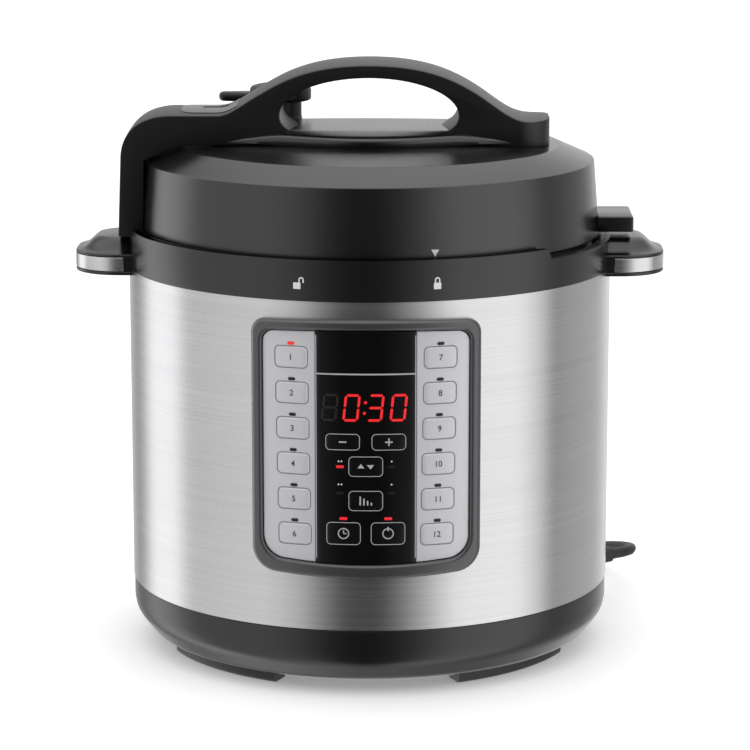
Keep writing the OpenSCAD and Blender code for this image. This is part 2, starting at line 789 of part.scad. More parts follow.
function unit(v) = v / norm(v);
function heading(points, i) = unit(points[min(i + 1, len(points) - 1)] - points[max(i - 1, 0)]);
function ring_at(points, i, r, sides) = let (
    d = heading(points, i),
    side = unit(cross(d, [0, 0, 1])),
    up = cross(side, d)
) [for (k = [0:sides - 1]) let (a = 360 * k / sides)
    points[i] + r * (cos(a) * side + sin(a) * up)];

// A round tube through the given points
module swept(points, r, sides) {
    n = len(points);
    polyhedron(
        points = [for (i = [0:n - 1]) each ring_at(points, i, r, sides)],
        faces = concat(
            [[for (k = [0:sides - 1]) k]],
            [for (i = [0:n - 2], k = [0:sides - 1]) let (m = (k + 1) % sides)
                [i * sides + k, (i + 1) * sides + k, (i + 1) * sides + m, i * sides + m]],
            [[for (k = [sides - 1:-1:0]) (n - 1) * sides + k]]));
}

module cord_run() { color("#151515") swept(run_points, cord_r, 10); }
module cord_tail() { color("#151515") swept(tail_points, cord_r, 10); }

module cord_coil() {
    color("#151515") translate([coil_at[0], coil_at[1], coil_base])
        rotate_extrude() translate([coil_in, 0]) square([coil_out - coil_in, coil_h]);
}

module cord_tie() {
    t = 0.9;
    w = coil_out - coil_in;
    color("#202020") translate([coil_at[0], coil_at[1], 0]) rotate([0, 0, 100])
        translate([coil_in - t, -6, coil_base - t]) difference() {
            cube([w + 2 * t, 12, coil_h + 2 * t]);
            translate([t - 0.05, -1, t - 0.05]) cube([w + 0.1, 14, coil_h + 0.1]);
        }
}

plug_l = 34;
module plug() {
    color("#151515") translate([-38, 197, 8.5]) rotate([0, 0, plug_turn]) rotate([0, 90, 0]) {
        translate([0, 0, 0.2]) cylinder(r1 = 4.6, r2 = 6, h = 12);
        translate([0, 0, 12.1]) linear_extrude(plug_l - 12) polygon(rounded(17, 26, 6));
    }
}

module plug_pins() {
    color("#c9b46a") translate([-38, 197, 8.5]) rotate([0, 0, plug_turn])
        for (y = [-6.35, 6.35]) translate([plug_l + 0.1, y - 0.75, -3.15]) cube([17, 1.5, 6.3]);
}

base_tub();
base_cover();
feet();
base_screws();
outer_shell();
top_ring();
handle_left();
handle_right();
trim_left();
trim_right();
outer_pot();
lock_ring();
heating_plate();
sensor_cap();
sensor_spring();
pressure_switch();
power_board();
control_board();
display_module();
panel_bezel();
strip_left();
strip_right();
panel_window();
for (i = [0:len(silver) - 1]) key(i);
key(12);  // key_minus
key(13);  // key_plus
key(14);  // key_level
key(15);  // key_heat
key(16);  // key_timer
key(17);  // key_start
cord_boot();
cord_run();
cord_coil();
cord_tail();
cord_tie();
plug();
plug_pins();
condensate_cup();
inner_pot();
sealing_ring();
lid_cover();
lid_handle();
handle_inlay();
lid_pan();
seal_rack();
valve_post();
steam_valve();
float_valve();
lid_screws();
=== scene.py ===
"""The look of an electric pressure cooker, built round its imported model. Metres, +Z up, front at -Y."""
import json
import math

import bmesh
import bpy
from mathutils import Matrix, Vector


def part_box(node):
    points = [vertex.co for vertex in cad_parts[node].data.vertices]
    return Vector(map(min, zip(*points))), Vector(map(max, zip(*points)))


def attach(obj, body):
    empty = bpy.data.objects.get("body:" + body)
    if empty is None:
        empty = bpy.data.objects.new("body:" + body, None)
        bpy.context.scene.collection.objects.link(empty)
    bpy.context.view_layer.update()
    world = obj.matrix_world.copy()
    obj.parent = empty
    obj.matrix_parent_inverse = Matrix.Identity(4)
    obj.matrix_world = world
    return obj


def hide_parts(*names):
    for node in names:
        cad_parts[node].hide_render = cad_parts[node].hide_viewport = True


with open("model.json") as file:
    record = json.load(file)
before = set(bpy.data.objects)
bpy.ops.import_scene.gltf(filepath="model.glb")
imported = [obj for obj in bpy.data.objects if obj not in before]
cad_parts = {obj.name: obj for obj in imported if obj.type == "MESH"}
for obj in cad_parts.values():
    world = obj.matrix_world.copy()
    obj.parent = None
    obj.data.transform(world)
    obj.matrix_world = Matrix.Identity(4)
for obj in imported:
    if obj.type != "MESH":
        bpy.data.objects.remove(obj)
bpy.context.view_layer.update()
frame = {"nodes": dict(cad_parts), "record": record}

MM = 0.001
ZERO = Vector((0, 0, 0))
UP = Vector((0, 0, 1))


# ---------------------------------------------------------------- sizes, read from the frame
def high(node, axis=2):
    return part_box(node)[1][axis]


def low(node, axis=2):
    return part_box(node)[0][axis]


BODY_R = high("outer_shell", 1)
SLEEVE_LOW = low("outer_shell")
SLEEVE_TOP = high("outer_shell")
LIP = high("top_ring")
LIP_LOW = LIP - 5.6 * MM
LID_R = -low("lid_cover", 1)
LID_LOW = low("lid_cover")
ARM_X = -low("lid_handle", 0)
TAIL_X = high("lid_handle", 0) - 1.8 * MM
SHOULDER = high("handle_inlay") - 12.9 * MM
# the lid's flat top, half the handle bar's breadth, and how far the bar's sides lie below its middle
LID_FLAT = SHOULDER - 17 * MM
BAR_HALF = 28 * MM
CROWN = 1.6 * MM
CORD_R = 3.25 * MM


# ---------------------------------------------------------------- camera
def place_camera():
    """A long lens in front of the cooker, a little to its right, looking slightly down."""
    turn = math.radians(0.9)
    away, height, aim_height, aim_right = 1.780, 0.512, 0.1523, 0.0030
    data = bpy.data.cameras.new("camera")
    data.lens = 150.2
    data.sensor_width = 36
    camera = bpy.data.objects.new("camera", data)
    bpy.context.scene.collection.objects.link(camera)
    right = Vector((math.cos(turn), math.sin(turn), 0))
    camera.location = Vector((math.sin(turn) * away, -math.cos(turn) * away, height))
    aim = right * aim_right + UP * aim_height
    camera.rotation_euler = (aim - camera.location).to_track_quat("-Z", "Y").to_euler()
    bpy.context.scene.camera = camera


place_camera()


# ---------------------------------------------------------------- shader maths
class Wire:
    """A node's output, on which Python's operators add Math nodes."""

    def __init__(self, graph, socket):
        self.graph, self.socket = graph, socket

    def math(self, operation, *others):
        return self.graph.node("ShaderNodeMath", {"operation": operation}, self, *others)

    def __add__(self, other): return self.math("ADD", other)
    def __sub__(self, other): return self.math("SUBTRACT", other)
    def __mul__(self, other): return self.math("MULTIPLY", other)
    def __rsub__(self, other): return (self * -1) + other

    def clamped(self):
        return self.math("MAXIMUM", 0).math("MINIMUM", 1)

    def above(self, level, soft):
        """0 below the level, 1 above it, with a soft step between."""
        return ((self - (level - soft)) * (0.5 / soft)).clamped()


class Graph:
    """A material's or the world's node tree."""

    def __init__(self, owner):
        owner.use_nodes = True
        self.tree = owner.node_tree
        self.tree.nodes.clear()

    def node(self, kind, settings, *inputs, out=0, **named):
        made = self.tree.nodes.new(kind)
        for key, value in settings.items():
            setattr(made, key, value)
        for key, value in list(enumerate(inputs)) + [(k.replace("_", " "), v) for k, v in named.items()]:
            if value is None:
                continue
            if isinstance(value, Wire):
                self.tree.links.new(value.socket, made.inputs[key])
            else:
                made.inputs[key].default_value = value
        return Wire(self, made.outputs[out]) if made.outputs else None

    def place(self, scale=(1, 1, 1), turn=(0, 0, 0)):
        """Object coordinates, stretched and turned."""
        at = self.node("ShaderNodeTexCoord", {}, out="Object")
        return self.node("ShaderNodeMapping", {}, at, Rotation=turn, Scale=scale)

    def noise(self, scale, stretch=(1, 1, 1), detail=3, rough=0.5):
        return self.node("ShaderNodeTexNoise", {}, self.place(stretch),
                         Scale=scale, Detail=detail, Roughness=rough)

    def mix(self, factor, a, b):
        return self.node("ShaderNodeMix", {"data_type": "RGBA"}, factor, None, None, None, None,
                         None, rgba(a), rgba(b), out=2)

    def bump(self, height, depth, strength=1.0):
        return self.node("ShaderNodeBump", {}, Strength=strength, Distance=depth, Height=height)


def rgba(colour):
    if isinstance(colour, Wire):
        return colour
    if not hasattr(colour, "__len__"):
        colour = (colour,) * 3
    return tuple(colour[:3]) + (1,)


def finish_with(name, build, **fixed):
    """A Principled material: build(graph) gives the sockets that vary, fixed the ones that don't."""
    material = bpy.data.materials.new(name)
    graph = Graph(material)
    sockets = {k.replace(" ", "_"): v for k, v in build(graph).items()}
    sockets.update(fixed)
    shader = graph.node("ShaderNodeBsdfPrincipled", {}, **sockets)
    graph.node("ShaderNodeOutputMaterial", {}, shader)
    return material


def toned(colour, share):
    return [min(1, c * share) for c in colour]


# ---------------------------------------------------------------- finishes
def moulded(name, colour, rough, grain=0.00004, gleam=0.55, **fixed):
    """Moulded plastic: a fine spark-eroded grain, with slow changes of sheen."""
    def build(g):
        tiny = g.noise(2600, detail=2)
        slow = g.noise(22, detail=3)
        return {"Base Color": g.mix(slow, toned(colour, 0.9), toned(colour, 1.12)),
                "Roughness": slow * 0.05 + tiny * 0.06 + (rough - 0.055),
                "Normal": g.bump(tiny, grain)}
    return finish_with(name, build, Specular_IOR_Level=gleam, **fixed)


def brushed(name, colour, rough):
    """Steel brushed in long fine lines that run round the Z axis."""
    def build(g):
        hair = g.noise(1, (3, 3, 900), detail=4, rough=0.7)
        band = g.noise(1, (3, 3, 100), detail=2)
        slow = g.noise(7, detail=2)
        tone = hair * 0.55 + band * 0.25 + slow * 0.2
        shade = g.mix(tone.above(0.5, 0.28), toned(colour, 0.86), toned(colour, 1.1))
        return {"Base Color": shade, "Roughness": hair * 0.12 + slow * 0.05 + (rough - 0.085),
                "Normal": g.bump(hair, 0.000012)}
    return finish_with(name, build, Metallic=1.0, Anisotropic=0.75, Anisotropic_Rotation=0.25)


def turned(name, colour, rough, rings=1400):
    """Metal spun on a lathe: fine rings about the Z axis."""
    def build(g):
        at = g.node("ShaderNodeTexCoord", {}, out="Object")
        flat = g.node("ShaderNodeVectorMath", {"operation": "MULTIPLY"}, at, (1, 1, 0))
        reach = g.node("ShaderNodeVectorMath", {"operation": "LENGTH"}, flat, out="Value")
        level = g.node("ShaderNodeSeparateXYZ", {}, at, out="Z")
        ring = g.node("ShaderNodeTexNoise", {"noise_dimensions": "1D"}, W=reach * rings + level * rings,
                      Scale=1.0, Detail=3.0)
        slow = g.noise(11)
        return {"Base Color": g.mix(ring, toned(colour, 0.88), toned(colour, 1.08)),
                "Roughness": ring * 0.12 + slow * 0.08 + (rough - 0.1),
                "Normal": g.bump(ring, 0.00001)}
    return finish_with(name, build, Metallic=1.0, Anisotropic=0.4)


def painted(name, colour, rough, flake=0.12, metal=0.35, **fixed):
    """Metallic paint: a fine sparkle in its colour."""
    def build(g):
        spark = g.noise(3800, detail=1)
        slow = g.noise(16)
        return {"Base Color": g.mix(spark, toned(colour, 1 - flake), toned(colour, 1 + flake)),
                "Roughness": slow * 0.06 + spark * 0.05 + (rough - 0.05),
                "Metallic": slow * 0.06 + (metal - 0.03), "Normal": g.bump(spark, 0.000008)}
    return finish_with(name, build, **fixed)


def gloss(name, colour, rough=0.12, **fixed):
    """Polished plastic, with the faint waviness and haze of a moulded sheet."""
    def build(g):
        wave = g.noise(30, detail=2)
        haze = g.noise(190, detail=4)
        return {"Base Color": g.mix(haze, toned(colour, 0.9), toned(colour, 1.15)),
                "Roughness": haze * 0.05 + (rough - 0.025),
                "Normal": g.bump(wave, 0.00003, 0.5)}
    return finish_with(name, build, **fixed)


def lit(name, colour, strength, back=0.01):
    """A light behind a coloured lens."""
    def build(g):
        glow = g.noise(260, detail=1)
        return {"Base Color": g.mix(glow, back, back * 1.4), "Roughness": glow * 0.1 + 0.25,
                "Emission Color": g.mix(glow, toned(colour, 0.92), colour)}
    return finish_with(name, build, Emission_Strength=strength)


def ink_and_painted_shade(name, colour, rough=0.5):
    """Ink from a screen print; the same finish also paints the shade in the key grooves."""
    def build(g):
        ink = g.noise(900, detail=2)
        return {"Base Color": g.mix(ink, toned(colour, 0.93), colour),
                "Roughness": ink * 0.1 + (rough - 0.05), "Normal": g.bump(ink, 0.00001)}
    return finish_with(name, build)


def sheathed(name, colour):
    """Soft extruded sheath of a mains lead."""
    def build(g):
        tiny = g.noise(1500, detail=3)
        slow = g.noise(40)
        return {"Base Color": g.mix(slow, toned(colour, 0.85), toned(colour, 1.25)),
                "Roughness": tiny * 0.12 + slow * 0.06 + 0.36, "Normal": g.bump(tiny, 0.00003)}
    return finish_with(name, build, Specular_IOR_Level=0.45)


def woven(name, colour):
    """Woven hook-and-loop strap."""
    def build(g):
        def threads(turn):
            return g.node("ShaderNodeTexWave", {"wave_type": "BANDS"}, g.place((1, 1, 1), (0, 0, turn)),
                          Scale=420.0, Distortion=0.6, out="Fac")
        weave = threads(0.785) * threads(-0.785)
        return {"Base Color": g.mix(weave, toned(colour, 0.5), toned(colour, 1.5)),
                "Roughness": weave * 0.1 + 0.8, "Normal": g.bump(weave, 0.0002)}
    return finish_with(name, build)


BLACK = (0.0034, 0.0035, 0.0037)
FINISH = {
    "black_plastic": moulded("satin black plastic", BLACK, 0.22, gleam=0.65),
    "lid_plastic": moulded("satin black lid plastic", (0.0036, 0.0037, 0.0039), 0.21, gleam=0.8),
    "handle_plastic": moulded("textured black grip plastic", (0.0045, 0.0046, 0.0048), 0.38, grain=0.00006,
                              gleam=0.42),
    "dark_plastic": moulded("dark ribbed plastic", (0.008, 0.008, 0.0088), 0.42),
    "rubber": sheathed("black rubber", (0.006, 0.006, 0.0062)),
    "tie_strap": woven("black hook-and-loop strap", (0.02, 0.02, 0.02)),
    "sleeve_steel": brushed("brushed steel sleeve", (0.60, 0.60, 0.61), 0.27),
    "pot_steel": turned("spun steel", (0.66, 0.66, 0.66), 0.22),
    "housing_steel": turned("plain pressed steel", (0.45, 0.45, 0.46), 0.4, rings=300),
    "screw_steel": turned("plated screw steel", (0.5, 0.5, 0.5), 0.3, rings=4000),
    "cast_aluminium": turned("turned cast aluminium", (0.5, 0.51, 0.52), 0.38, rings=700),
    "circuit_board": moulded("green circuit board", (0.02, 0.13, 0.05), 0.35),
    "display_red": gloss("dark red display filter", (0.05, 0.005, 0.005)),
    "bezel_grey": painted("graphite bezel", (0.07, 0.07, 0.074), 0.24, metal=0.5, Coat_Weight=0.5),
    "panel_silver": painted("silver panel paint", (0.58, 0.58, 0.605), 0.36, flake=0.08, metal=0.3),
    "key_silver": painted("silver key paint", (0.58, 0.58, 0.615), 0.33, flake=0.08, metal=0.3),
    "window_black": gloss("black gloss window", (0.0018, 0.0017, 0.0022), 0.1, Specular_IOR_Level=0.35),
    "key_black": gloss("black gloss keys", (0.003, 0.0028, 0.0036), 0.16, Specular_IOR_Level=0.4),
    "brass": turned("plated brass pins", (0.65, 0.53, 0.28), 0.25, rings=3000),
    "cup_clear": gloss("milky cup plastic", (0.55, 0.57, 0.6), 0.3, Transmission_Weight=0.35),
    "silicone": moulded("translucent silicone", (0.62, 0.6, 0.55), 0.5, Subsurface_Weight=0.15,
                        Subsurface_Scale=0.003),
    "float_red": painted("red anodised pin", (0.5, 0.05, 0.05), 0.3, metal=0.8),
    "inlay_black": moulded("satin black inlay", (0.0036, 0.0037, 0.004), 0.24),
}
WHITE_INK = ink_and_painted_shade("white ink", (0.75, 0.75, 0.76))
# grey ink for the black keys' outlines and signs, also used for the painted edge highlights beside the
# window
LINE_INK_AND_HIGHLIGHT = ink_and_painted_shade("grey ink", (0.42, 0.42, 0.43))
DARK_INK = ink_and_painted_shade("dark grey ink", (0.03, 0.03, 0.035))
# painted shade: a flat dark grey ring stands in for the shadowed gap round each silver key
GROOVE_SHADE = ink_and_painted_shade("painted key groove shade", (0.19, 0.19, 0.2), 0.6)
RED_LIGHT = lit("lit red segments", (1.0, 0.015, 0.02), 0.95)
RED_LAMP = lit("lit red key lamp", (1.0, 0.015, 0.02), 0.9)
DIM_SEGMENT = lit("unlit segments", (0.09, 0.02, 0.02), 0.04, 0.008)
DARK_LAMP = gloss("unlit key lamp", (0.006, 0.006, 0.007), 0.3)


def dress_cad_nodes():
    """Gives every CAD node the finish of its material slot."""
    for part in frame["record"]["subparts"]:
        mesh = frame["nodes"][part["node"]].data
        mesh.materials.clear()
        mesh.materials.append(FINISH[part["material_slot"]])


dress_cad_nodes()


# ---------------------------------------------------------------- mesh helpers
def add_piece(name, bm, material, body="base", slot=None, smooth=40, replaces=()):
    """Makes an object from a bmesh and lets it ride on a body."""
    bmesh.ops.remove_doubles(bm, verts=bm.verts, dist=1e-7)
    bmesh.ops.recalc_face_normals(bm, faces=bm.faces)
    mesh = bpy.data.meshes.new(name)
    for edge in bm.edges:
        edge.smooth = len(edge.link_faces) == 2 and edge.calc_face_angle(0) < math.radians(smooth)
    for face in bm.faces:
        face.smooth = True
    bm.to_mesh(mesh)
    bm.free()
    mesh.materials.append(material)
    piece = bpy.data.objects.new(name, mesh)
    bpy.context.scene.collection.objects.link(piece)
    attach(piece, body)
    if replaces:
        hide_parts(*replaces)
    return piece


def arc(cx, cz, r, a, b, n=6):
    return [(cx + r * math.cos(math.radians(a + (b - a) * i / n)),
             cz + r * math.sin(math.radians(a + (b - a) * i / n))) for i in range(n + 1)]


def bezier(p, ph, qh, q, n=10):
    def at(t):
        u = 1 - t
        k = (u * u * u, 3 * u * u * t, 3 * u * t * t, t * t * t)
        return tuple(sum(w * c[i] for w, c in zip(k, (p, ph, qh, q))) for i in (0, 1))
    return [at(i / n) for i in range(n + 1)]


def rounded(w, h, r, n=5, cx=0.0, cz=0.0):
    x, z = w / 2 - r, h / 2 - r
    return (arc(cx + x, cz + z, r, 0, 90, n) + arc(cx - x, cz + z, r, 90, 180, n)
            + arc(cx - x, cz - z, r, 180, 270, n) + arc(cx + x, cz - z, r, 270, 360, n))


def softened(points, radius, n=4):
    """An open profile with its inner corners rounded."""
    out = [points[0]]
    for before, at, after in zip(points, points[1:], points[2:]):
        a, c, b = Vector(before), Vector(at), Vector(after)
        reach = min(radius, (a - c).length * 0.45, (b - c).length * 0.45)
        p, q = c + (a - c).normalized() * reach, c + (b - c).normalized() * reach
        out += [tuple(p.lerp(c, t).lerp(c.lerp(q, t), t)) for t in (i / n for i in range(n + 1))]
    return out + [points[-1]]


def lathe(profile, steps=180, centre=(0, 0)):
    """Spins an (r, z) profile round a vertical axis."""
    bm = bmesh.new()
    verts = [bm.verts.new((r, 0, z)) for r, z in profile]
    edges = [bm.edges.new(pair) for pair in zip(verts, verts[1:])]
    bmesh.ops.spin(bm, geom=verts + edges, cent=ZERO, axis=UP, angle=2 * math.pi, steps=steps,
                   use_merge=True)
    bmesh.ops.translate(bm, verts=bm.verts, vec=(centre[0], centre[1], 0))
    return bm


def carry(bm, way):
    """Thickens flat faces along way."""
    grown = bmesh.ops.extrude_face_region(bm, geom=list(bm.faces))["geom"]
    bmesh.ops.translate(bm, verts=[g for g in grown if isinstance(g, bmesh.types.BMVert)], vec=way)


def sweep(bm, verts, way):
    """Carries the line through these points along way, as a sheet."""
    edges = [bm.edges.new(pair) for pair in zip(verts, verts[1:])]
    grown = bmesh.ops.extrude_edge_only(bm, edges=edges)["geom"]
    bmesh.ops.translate(bm, verts=[g for g in grown if isinstance(g, bmesh.types.BMVert)], vec=way)


def skin(bm, rows):
    """Faces between rows of as many points each."""
    for p, q in zip(rows, rows[1:]):
        for k in range(len(p) - 1):
            bm.faces.new((p[k], p[k + 1], q[k + 1], q[k]))


def sheet_thickness(piece, thickness):
    thick = piece.modifiers.new("thickness", "SOLIDIFY")
    thick.thickness = thickness
    thick.offset = -1


def slab(outline, y0, y1, hole=None):
    """An (x, z) outline, with an optional hole of as many points, carried from y0 to y1."""
    bm = bmesh.new()
    outer = [bm.verts.new((x, y0, z)) for x, z in outline]
    ring = [bm.edges.new(pair) for pair in zip(outer, outer[1:] + outer[:1])]
    if hole:
        inner = [bm.verts.new((x, y0, z)) for x, z in hole]
        ring += [bm.edges.new(pair) for pair in zip(inner, inner[1:] + inner[:1])]
        bmesh.ops.bridge_loops(bm, edges=ring)
    else:
        bm.faces.new(outer)
    carry(bm, (0, y1 - y0, 0))
    return bm


def rims(bm, level, axis=1):
    """Sharp edges that lie in the plane across an axis at this level."""
    return [e for e in bm.edges if all(abs(v.co[axis] - level) < 1e-6 for v in e.verts)
            and len(e.link_faces) == 2 and e.calc_face_angle(0) > math.radians(50)]


def bevel(bm, edges, width, segments=3):
    bmesh.ops.bevel(bm, geom=edges, offset=width, offset_type="OFFSET", segments=segments, profile=0.5,
                    affect="EDGES", material=-1, clamp_overlap=True)


def cut_across(bm, step, axis=0):
    """Adds edges every step along an axis, so that a flat piece can bend."""
    at = [v.co[axis] for v in bm.verts]
    normal = Vector((axis == 0, axis == 1, axis == 2))
    k = math.ceil(min(at) / step)
    while k * step < max(at):
        bmesh.ops.bisect_plane(bm, geom=bm.verts[:] + bm.edges[:] + bm.faces[:], dist=1e-6,
                               plane_co=normal * (k * step), plane_no=normal)
        k += 1


def onto_body(bm, radius=None, turn=0.0, lift=0.0):
    """Bends a flat piece round the body: its -y becomes its height over the radius."""
    radius = radius or BODY_R
    cut_across(bm, 4 * MM)
    for v in bm.verts:
        out = radius - v.co.y
        v.co.y = -math.sqrt(max(out * out - v.co.x * v.co.x, 0))
        v.co.z += lift
    bmesh.ops.rotate(bm, verts=bm.verts, cent=ZERO, matrix=Matrix.Rotation(math.radians(turn), 3, "Z"))
    return bm


# ---------------------------------------------------------------- light and floor
def sky():
    """White to the camera; soft panels of light round the cooker for its shading and its metal."""
    world = bpy.data.worlds.new("studio")
    bpy.context.scene.world = world
    g = Graph(world)
    at = g.node("ShaderNodeTexCoord", {}, out="Generated")
    x, y, z = (g.node("ShaderNodeSeparateXYZ", {}, at, out=i) for i in range(3))
    # 0 in front, rising to 1 behind, and negative on the left
    round_z = x.math("ARCTAN2", y * -1)
    turn = round_z * (0.5 / math.pi) + 0.5
    panels = g.tree.nodes.new("ShaderNodeValToRGB")
    ramp = panels.color_ramp
    stops = [(-180, 0.85), (-160, 0.62), (-148, 0.36), (-138, 0.6), (-126, 1.5), (-106, 1.5),
             (-96, 0.75), (-80, 0.84), (-50, 0.95), (-34, 0.72), (-22, 0.3), (-12, 0.09), (6, 0.07),
             (16, 0.25), (28, 0.62), (42, 1.28), (76, 1.4), (90, 0.95), (99, 0.36), (108, 0.5),
             (140, 0.6), (160, 0.95), (180, 0.85)]
    ramp.elements.remove(ramp.elements[1])
    for degrees, level in stops:
        position = degrees / 360 + 0.5
        first = degrees == stops[0][0]
        element = ramp.elements[0] if first else ramp.elements.new(position)
        element.position = position
        element.color = (level / 2, level / 2, level / 2, 1)
    g.tree.links.new(turn.socket, panels.inputs[0])
    side = Wire(g, panels.outputs[0]) * 2
    overhead = z.above(0.72, 0.2)
    level = side * (1 - overhead) + overhead * 1.65
    seen = g.node("ShaderNodeLightPath", {}, out="Is Camera Ray")
    strength = level * (1 - seen) + seen
    light = g.node("ShaderNodeBackground", {}, (1, 1, 1, 1), strength)
    g.node("ShaderNodeOutputWorld", {}, light)


def floor():
    bm = bmesh.new()
    bmesh.ops.create_grid(bm, x_segments=8, y_segments=8, size=6)
    mesh = bpy.data.meshes.new("floor")
    bm.to_mesh(mesh)
    bm.free()
    plane = bpy.data.objects.new("floor", mesh)
    plane.location.z = -0.0004
    bpy.context.scene.collection.objects.link(plane)
    material = bpy.data.materials.new("white floor")
    g = Graph(material)
    seen = g.node("ShaderNodeLightPath", {}, out="Is Camera Ray")
    mirrored = g.node("ShaderNodeLightPath", {}, out="Is Glossy Ray")
    base = g.node("ShaderNodeBsdfPrincipled", {}, Base_Color=(0.86, 0.86, 0.86, 1), Roughness=0.6,
                  Emission_Color=(1, 1, 1, 1), Emission_Strength=seen * 0.26)
    clear = g.node("ShaderNodeBsdfTransparent", {})
    g.node("ShaderNodeOutputMaterial", {}, g.node("ShaderNodeMixShader", {}, mirrored, base, clear))
    mesh.materials.append(material)


sky()
floor()
bpy.context.scene.view_settings.view_transform = "Standard"


# ---------------------------------------------------------------- cord
def mm(*points):
    return [tuple(c * MM for c in p) for p in points]


def make_cord():
    """The mains lead: out of the base, down and back to the floor, round its coil, and to its plug."""
    run = mm((123.7, 60.3, 27), (134.4, 65.6, 27), (145.2, 70.8, 27), (153.7, 77.5, 26.8),
             (158.2, 85.3, 26), (159.6, 94.2, 24.8), (158.4, 103.5, 23), (155, 115, 20.5),
             (150, 130, 16.8), (144, 145, 12.6), (136.5, 160, 8.4), (127.5, 173, 5.2),
             (116, 182.5, 3.8), (102, 188, 3.5), (86, 189.5, 3.7), (66, 188, 4), (48, 186.2, 4.25))
    tail = mm((14, 186, 10.6), (0, 187.6, 9.9), (-14, 190.4, 9), (-28, 194, 8.5), (-38, 197, 8.5))
    centre, middle, base = Vector((30, 225, 0)) * MM, 36 * MM, 1 * MM
    inner, outer = middle - CORD_R, middle + CORD_R
    low_z, high_z = base + CORD_R, base + 3 * CORD_R
    # radius and height at the end of each turn
    ends = [(outer, low_z), (outer, low_z), (inner, low_z), (inner, high_z), (outer, high_z),
            (outer, high_z)]
    turns, per_turn = 4, 24
    coil = []
    for i in range(turns * per_turn + 1):
        t = i / per_turn
        k = min(int(t), turns - 1)
        blend = min(1, max(0, (t - k) * 4 - 3)) if k < turns - 1 else 0
        blend = blend * blend * (3 - 2 * blend)
        r = ends[k + 1][0] + (ends[k + 2][0] - ends[k + 1][0]) * blend
        z = ends[k + 1][1] + (ends[k + 2][1] - ends[k + 1][1]) * blend
        a = -math.pi / 2 - 2 * math.pi * t
        coil.append((centre.x + r * math.cos(a), centre.y + r * math.sin(a), z))
    points = run + coil + tail
    curve = bpy.data.curves.new("mains_cord", "CURVE")
    curve.dimensions = "3D"
    curve.bevel_depth = CORD_R
    curve.bevel_resolution = 5
    curve.use_fill_caps = True
    line = curve.splines.new("POLY")
    line.points.add(len(points) - 1)
    for spot, p in zip(line.points, points):
        spot.co = (*p, 1)
    curve.materials.append(FINISH["rubber"])
    cord = bpy.data.objects.new("mains_cord", curve)
    bpy.context.scene.collection.objects.link(cord)
    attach(cord, "base")
    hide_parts("cord_run", "cord_coil", "cord_tail")


make_cord()


# ---------------------------------------------------------------- base, top ring and lid
def make_base():
    r = BODY_R - 0.4 * MM
    top = SLEEVE_LOW
    profile = softened([
        (118 * MM, 8.5 * MM), (113.5 * MM, 6.2 * MM), (r - 14 * MM, 6 * MM), (r - 9.9 * MM, 7.8 * MM),
        (r - 6.6 * MM, 12 * MM), (r - 3.1 * MM, 16.4 * MM), (r - 1.1 * MM, 19.6 * MM),
        (r, 24.5 * MM), (r, top - 0.7 * MM), (r - 0.9 * MM, top - 0.1 * MM), (r - 3 * MM, top - 0.1 * MM)],
        3 * MM)
    add_piece("base_moulding", lathe(profile), FINISH["black_plastic"], slot="black_plastic",
              replaces=["base_tub"])


def make_foot_pads():
    """Rubber pads with soft edges and a chamfered heel."""
    inner, outer = 107.4 * MM, 121.4 * MM
    profile = softened([(inner, 6 * MM), (inner + 0.4 * MM, 0.9 * MM), (inner + 1.4 * MM, 0),
                        (outer - 1.2 * MM, 0), (outer, 1.2 * MM), (outer + 0.3 * MM, 6 * MM)], 0.8 * MM, 2)
    for corner in range(4):
        bm = bmesh.new()
        verts = [bm.verts.new((r, 0, z)) for r, z in profile]
        bm.faces.new(verts)
        start = math.radians(45 + 90 * corner - 20)
        bmesh.ops.rotate(bm, verts=bm.verts, cent=ZERO, matrix=Matrix.Rotation(start, 3, "Z"))
        bmesh.ops.spin(bm, geom=bm.verts[:] + bm.edges[:] + bm.faces[:], cent=ZERO, axis=UP,
                       angle=math.radians(40), steps=24)
        add_piece(f"foot_pad_{corner + 1}", bm, FINISH["rubber"], slot="rubber",
                  replaces=["feet"] if corner == 0 else ())


def make_top_ring():
    """The ring's lip is high at the front and rear, and low where the arm and the fin travel."""
    r = BODY_R
    inside = r - 5 * MM
    bend = LIP_LOW - 1.2 * MM
    profile = softened([
        (121 * MM, SLEEVE_TOP + 0.1 * MM), (r - 0.2 * MM, SLEEVE_TOP + 0.1 * MM),
        (r + 0.1 * MM, SLEEVE_TOP + 0.6 * MM), (r + 0.1 * MM, bend),
        (r, LIP - 0.9 * MM), (r - 0.9 * MM, LIP), (inside + 0.6 * MM, LIP),
        (inside, LIP - 0.7 * MM), (inside, SLEEVE_TOP + 3.4 * MM),
        (inside - 1 * MM, SLEEVE_TOP + 2.4 * MM), (121 * MM, SLEEVE_TOP + 2.4 * MM)], 0.7 * MM, 3)
    bm = lathe(profile, steps=360)
    for v in bm.verts:
        turn = math.degrees(math.atan2(v.co.y, v.co.x))
        lowered = -44 < turn < 14 or turn > 135 or turn < -167
        if lowered and v.co.z > bend:
            v.co.z = bend + (v.co.z - bend) / (LIP - bend) * 1.2 * MM
    add_piece("top_ring_moulding", bm, FINISH["black_plastic"], slot="black_plastic", smooth=35)


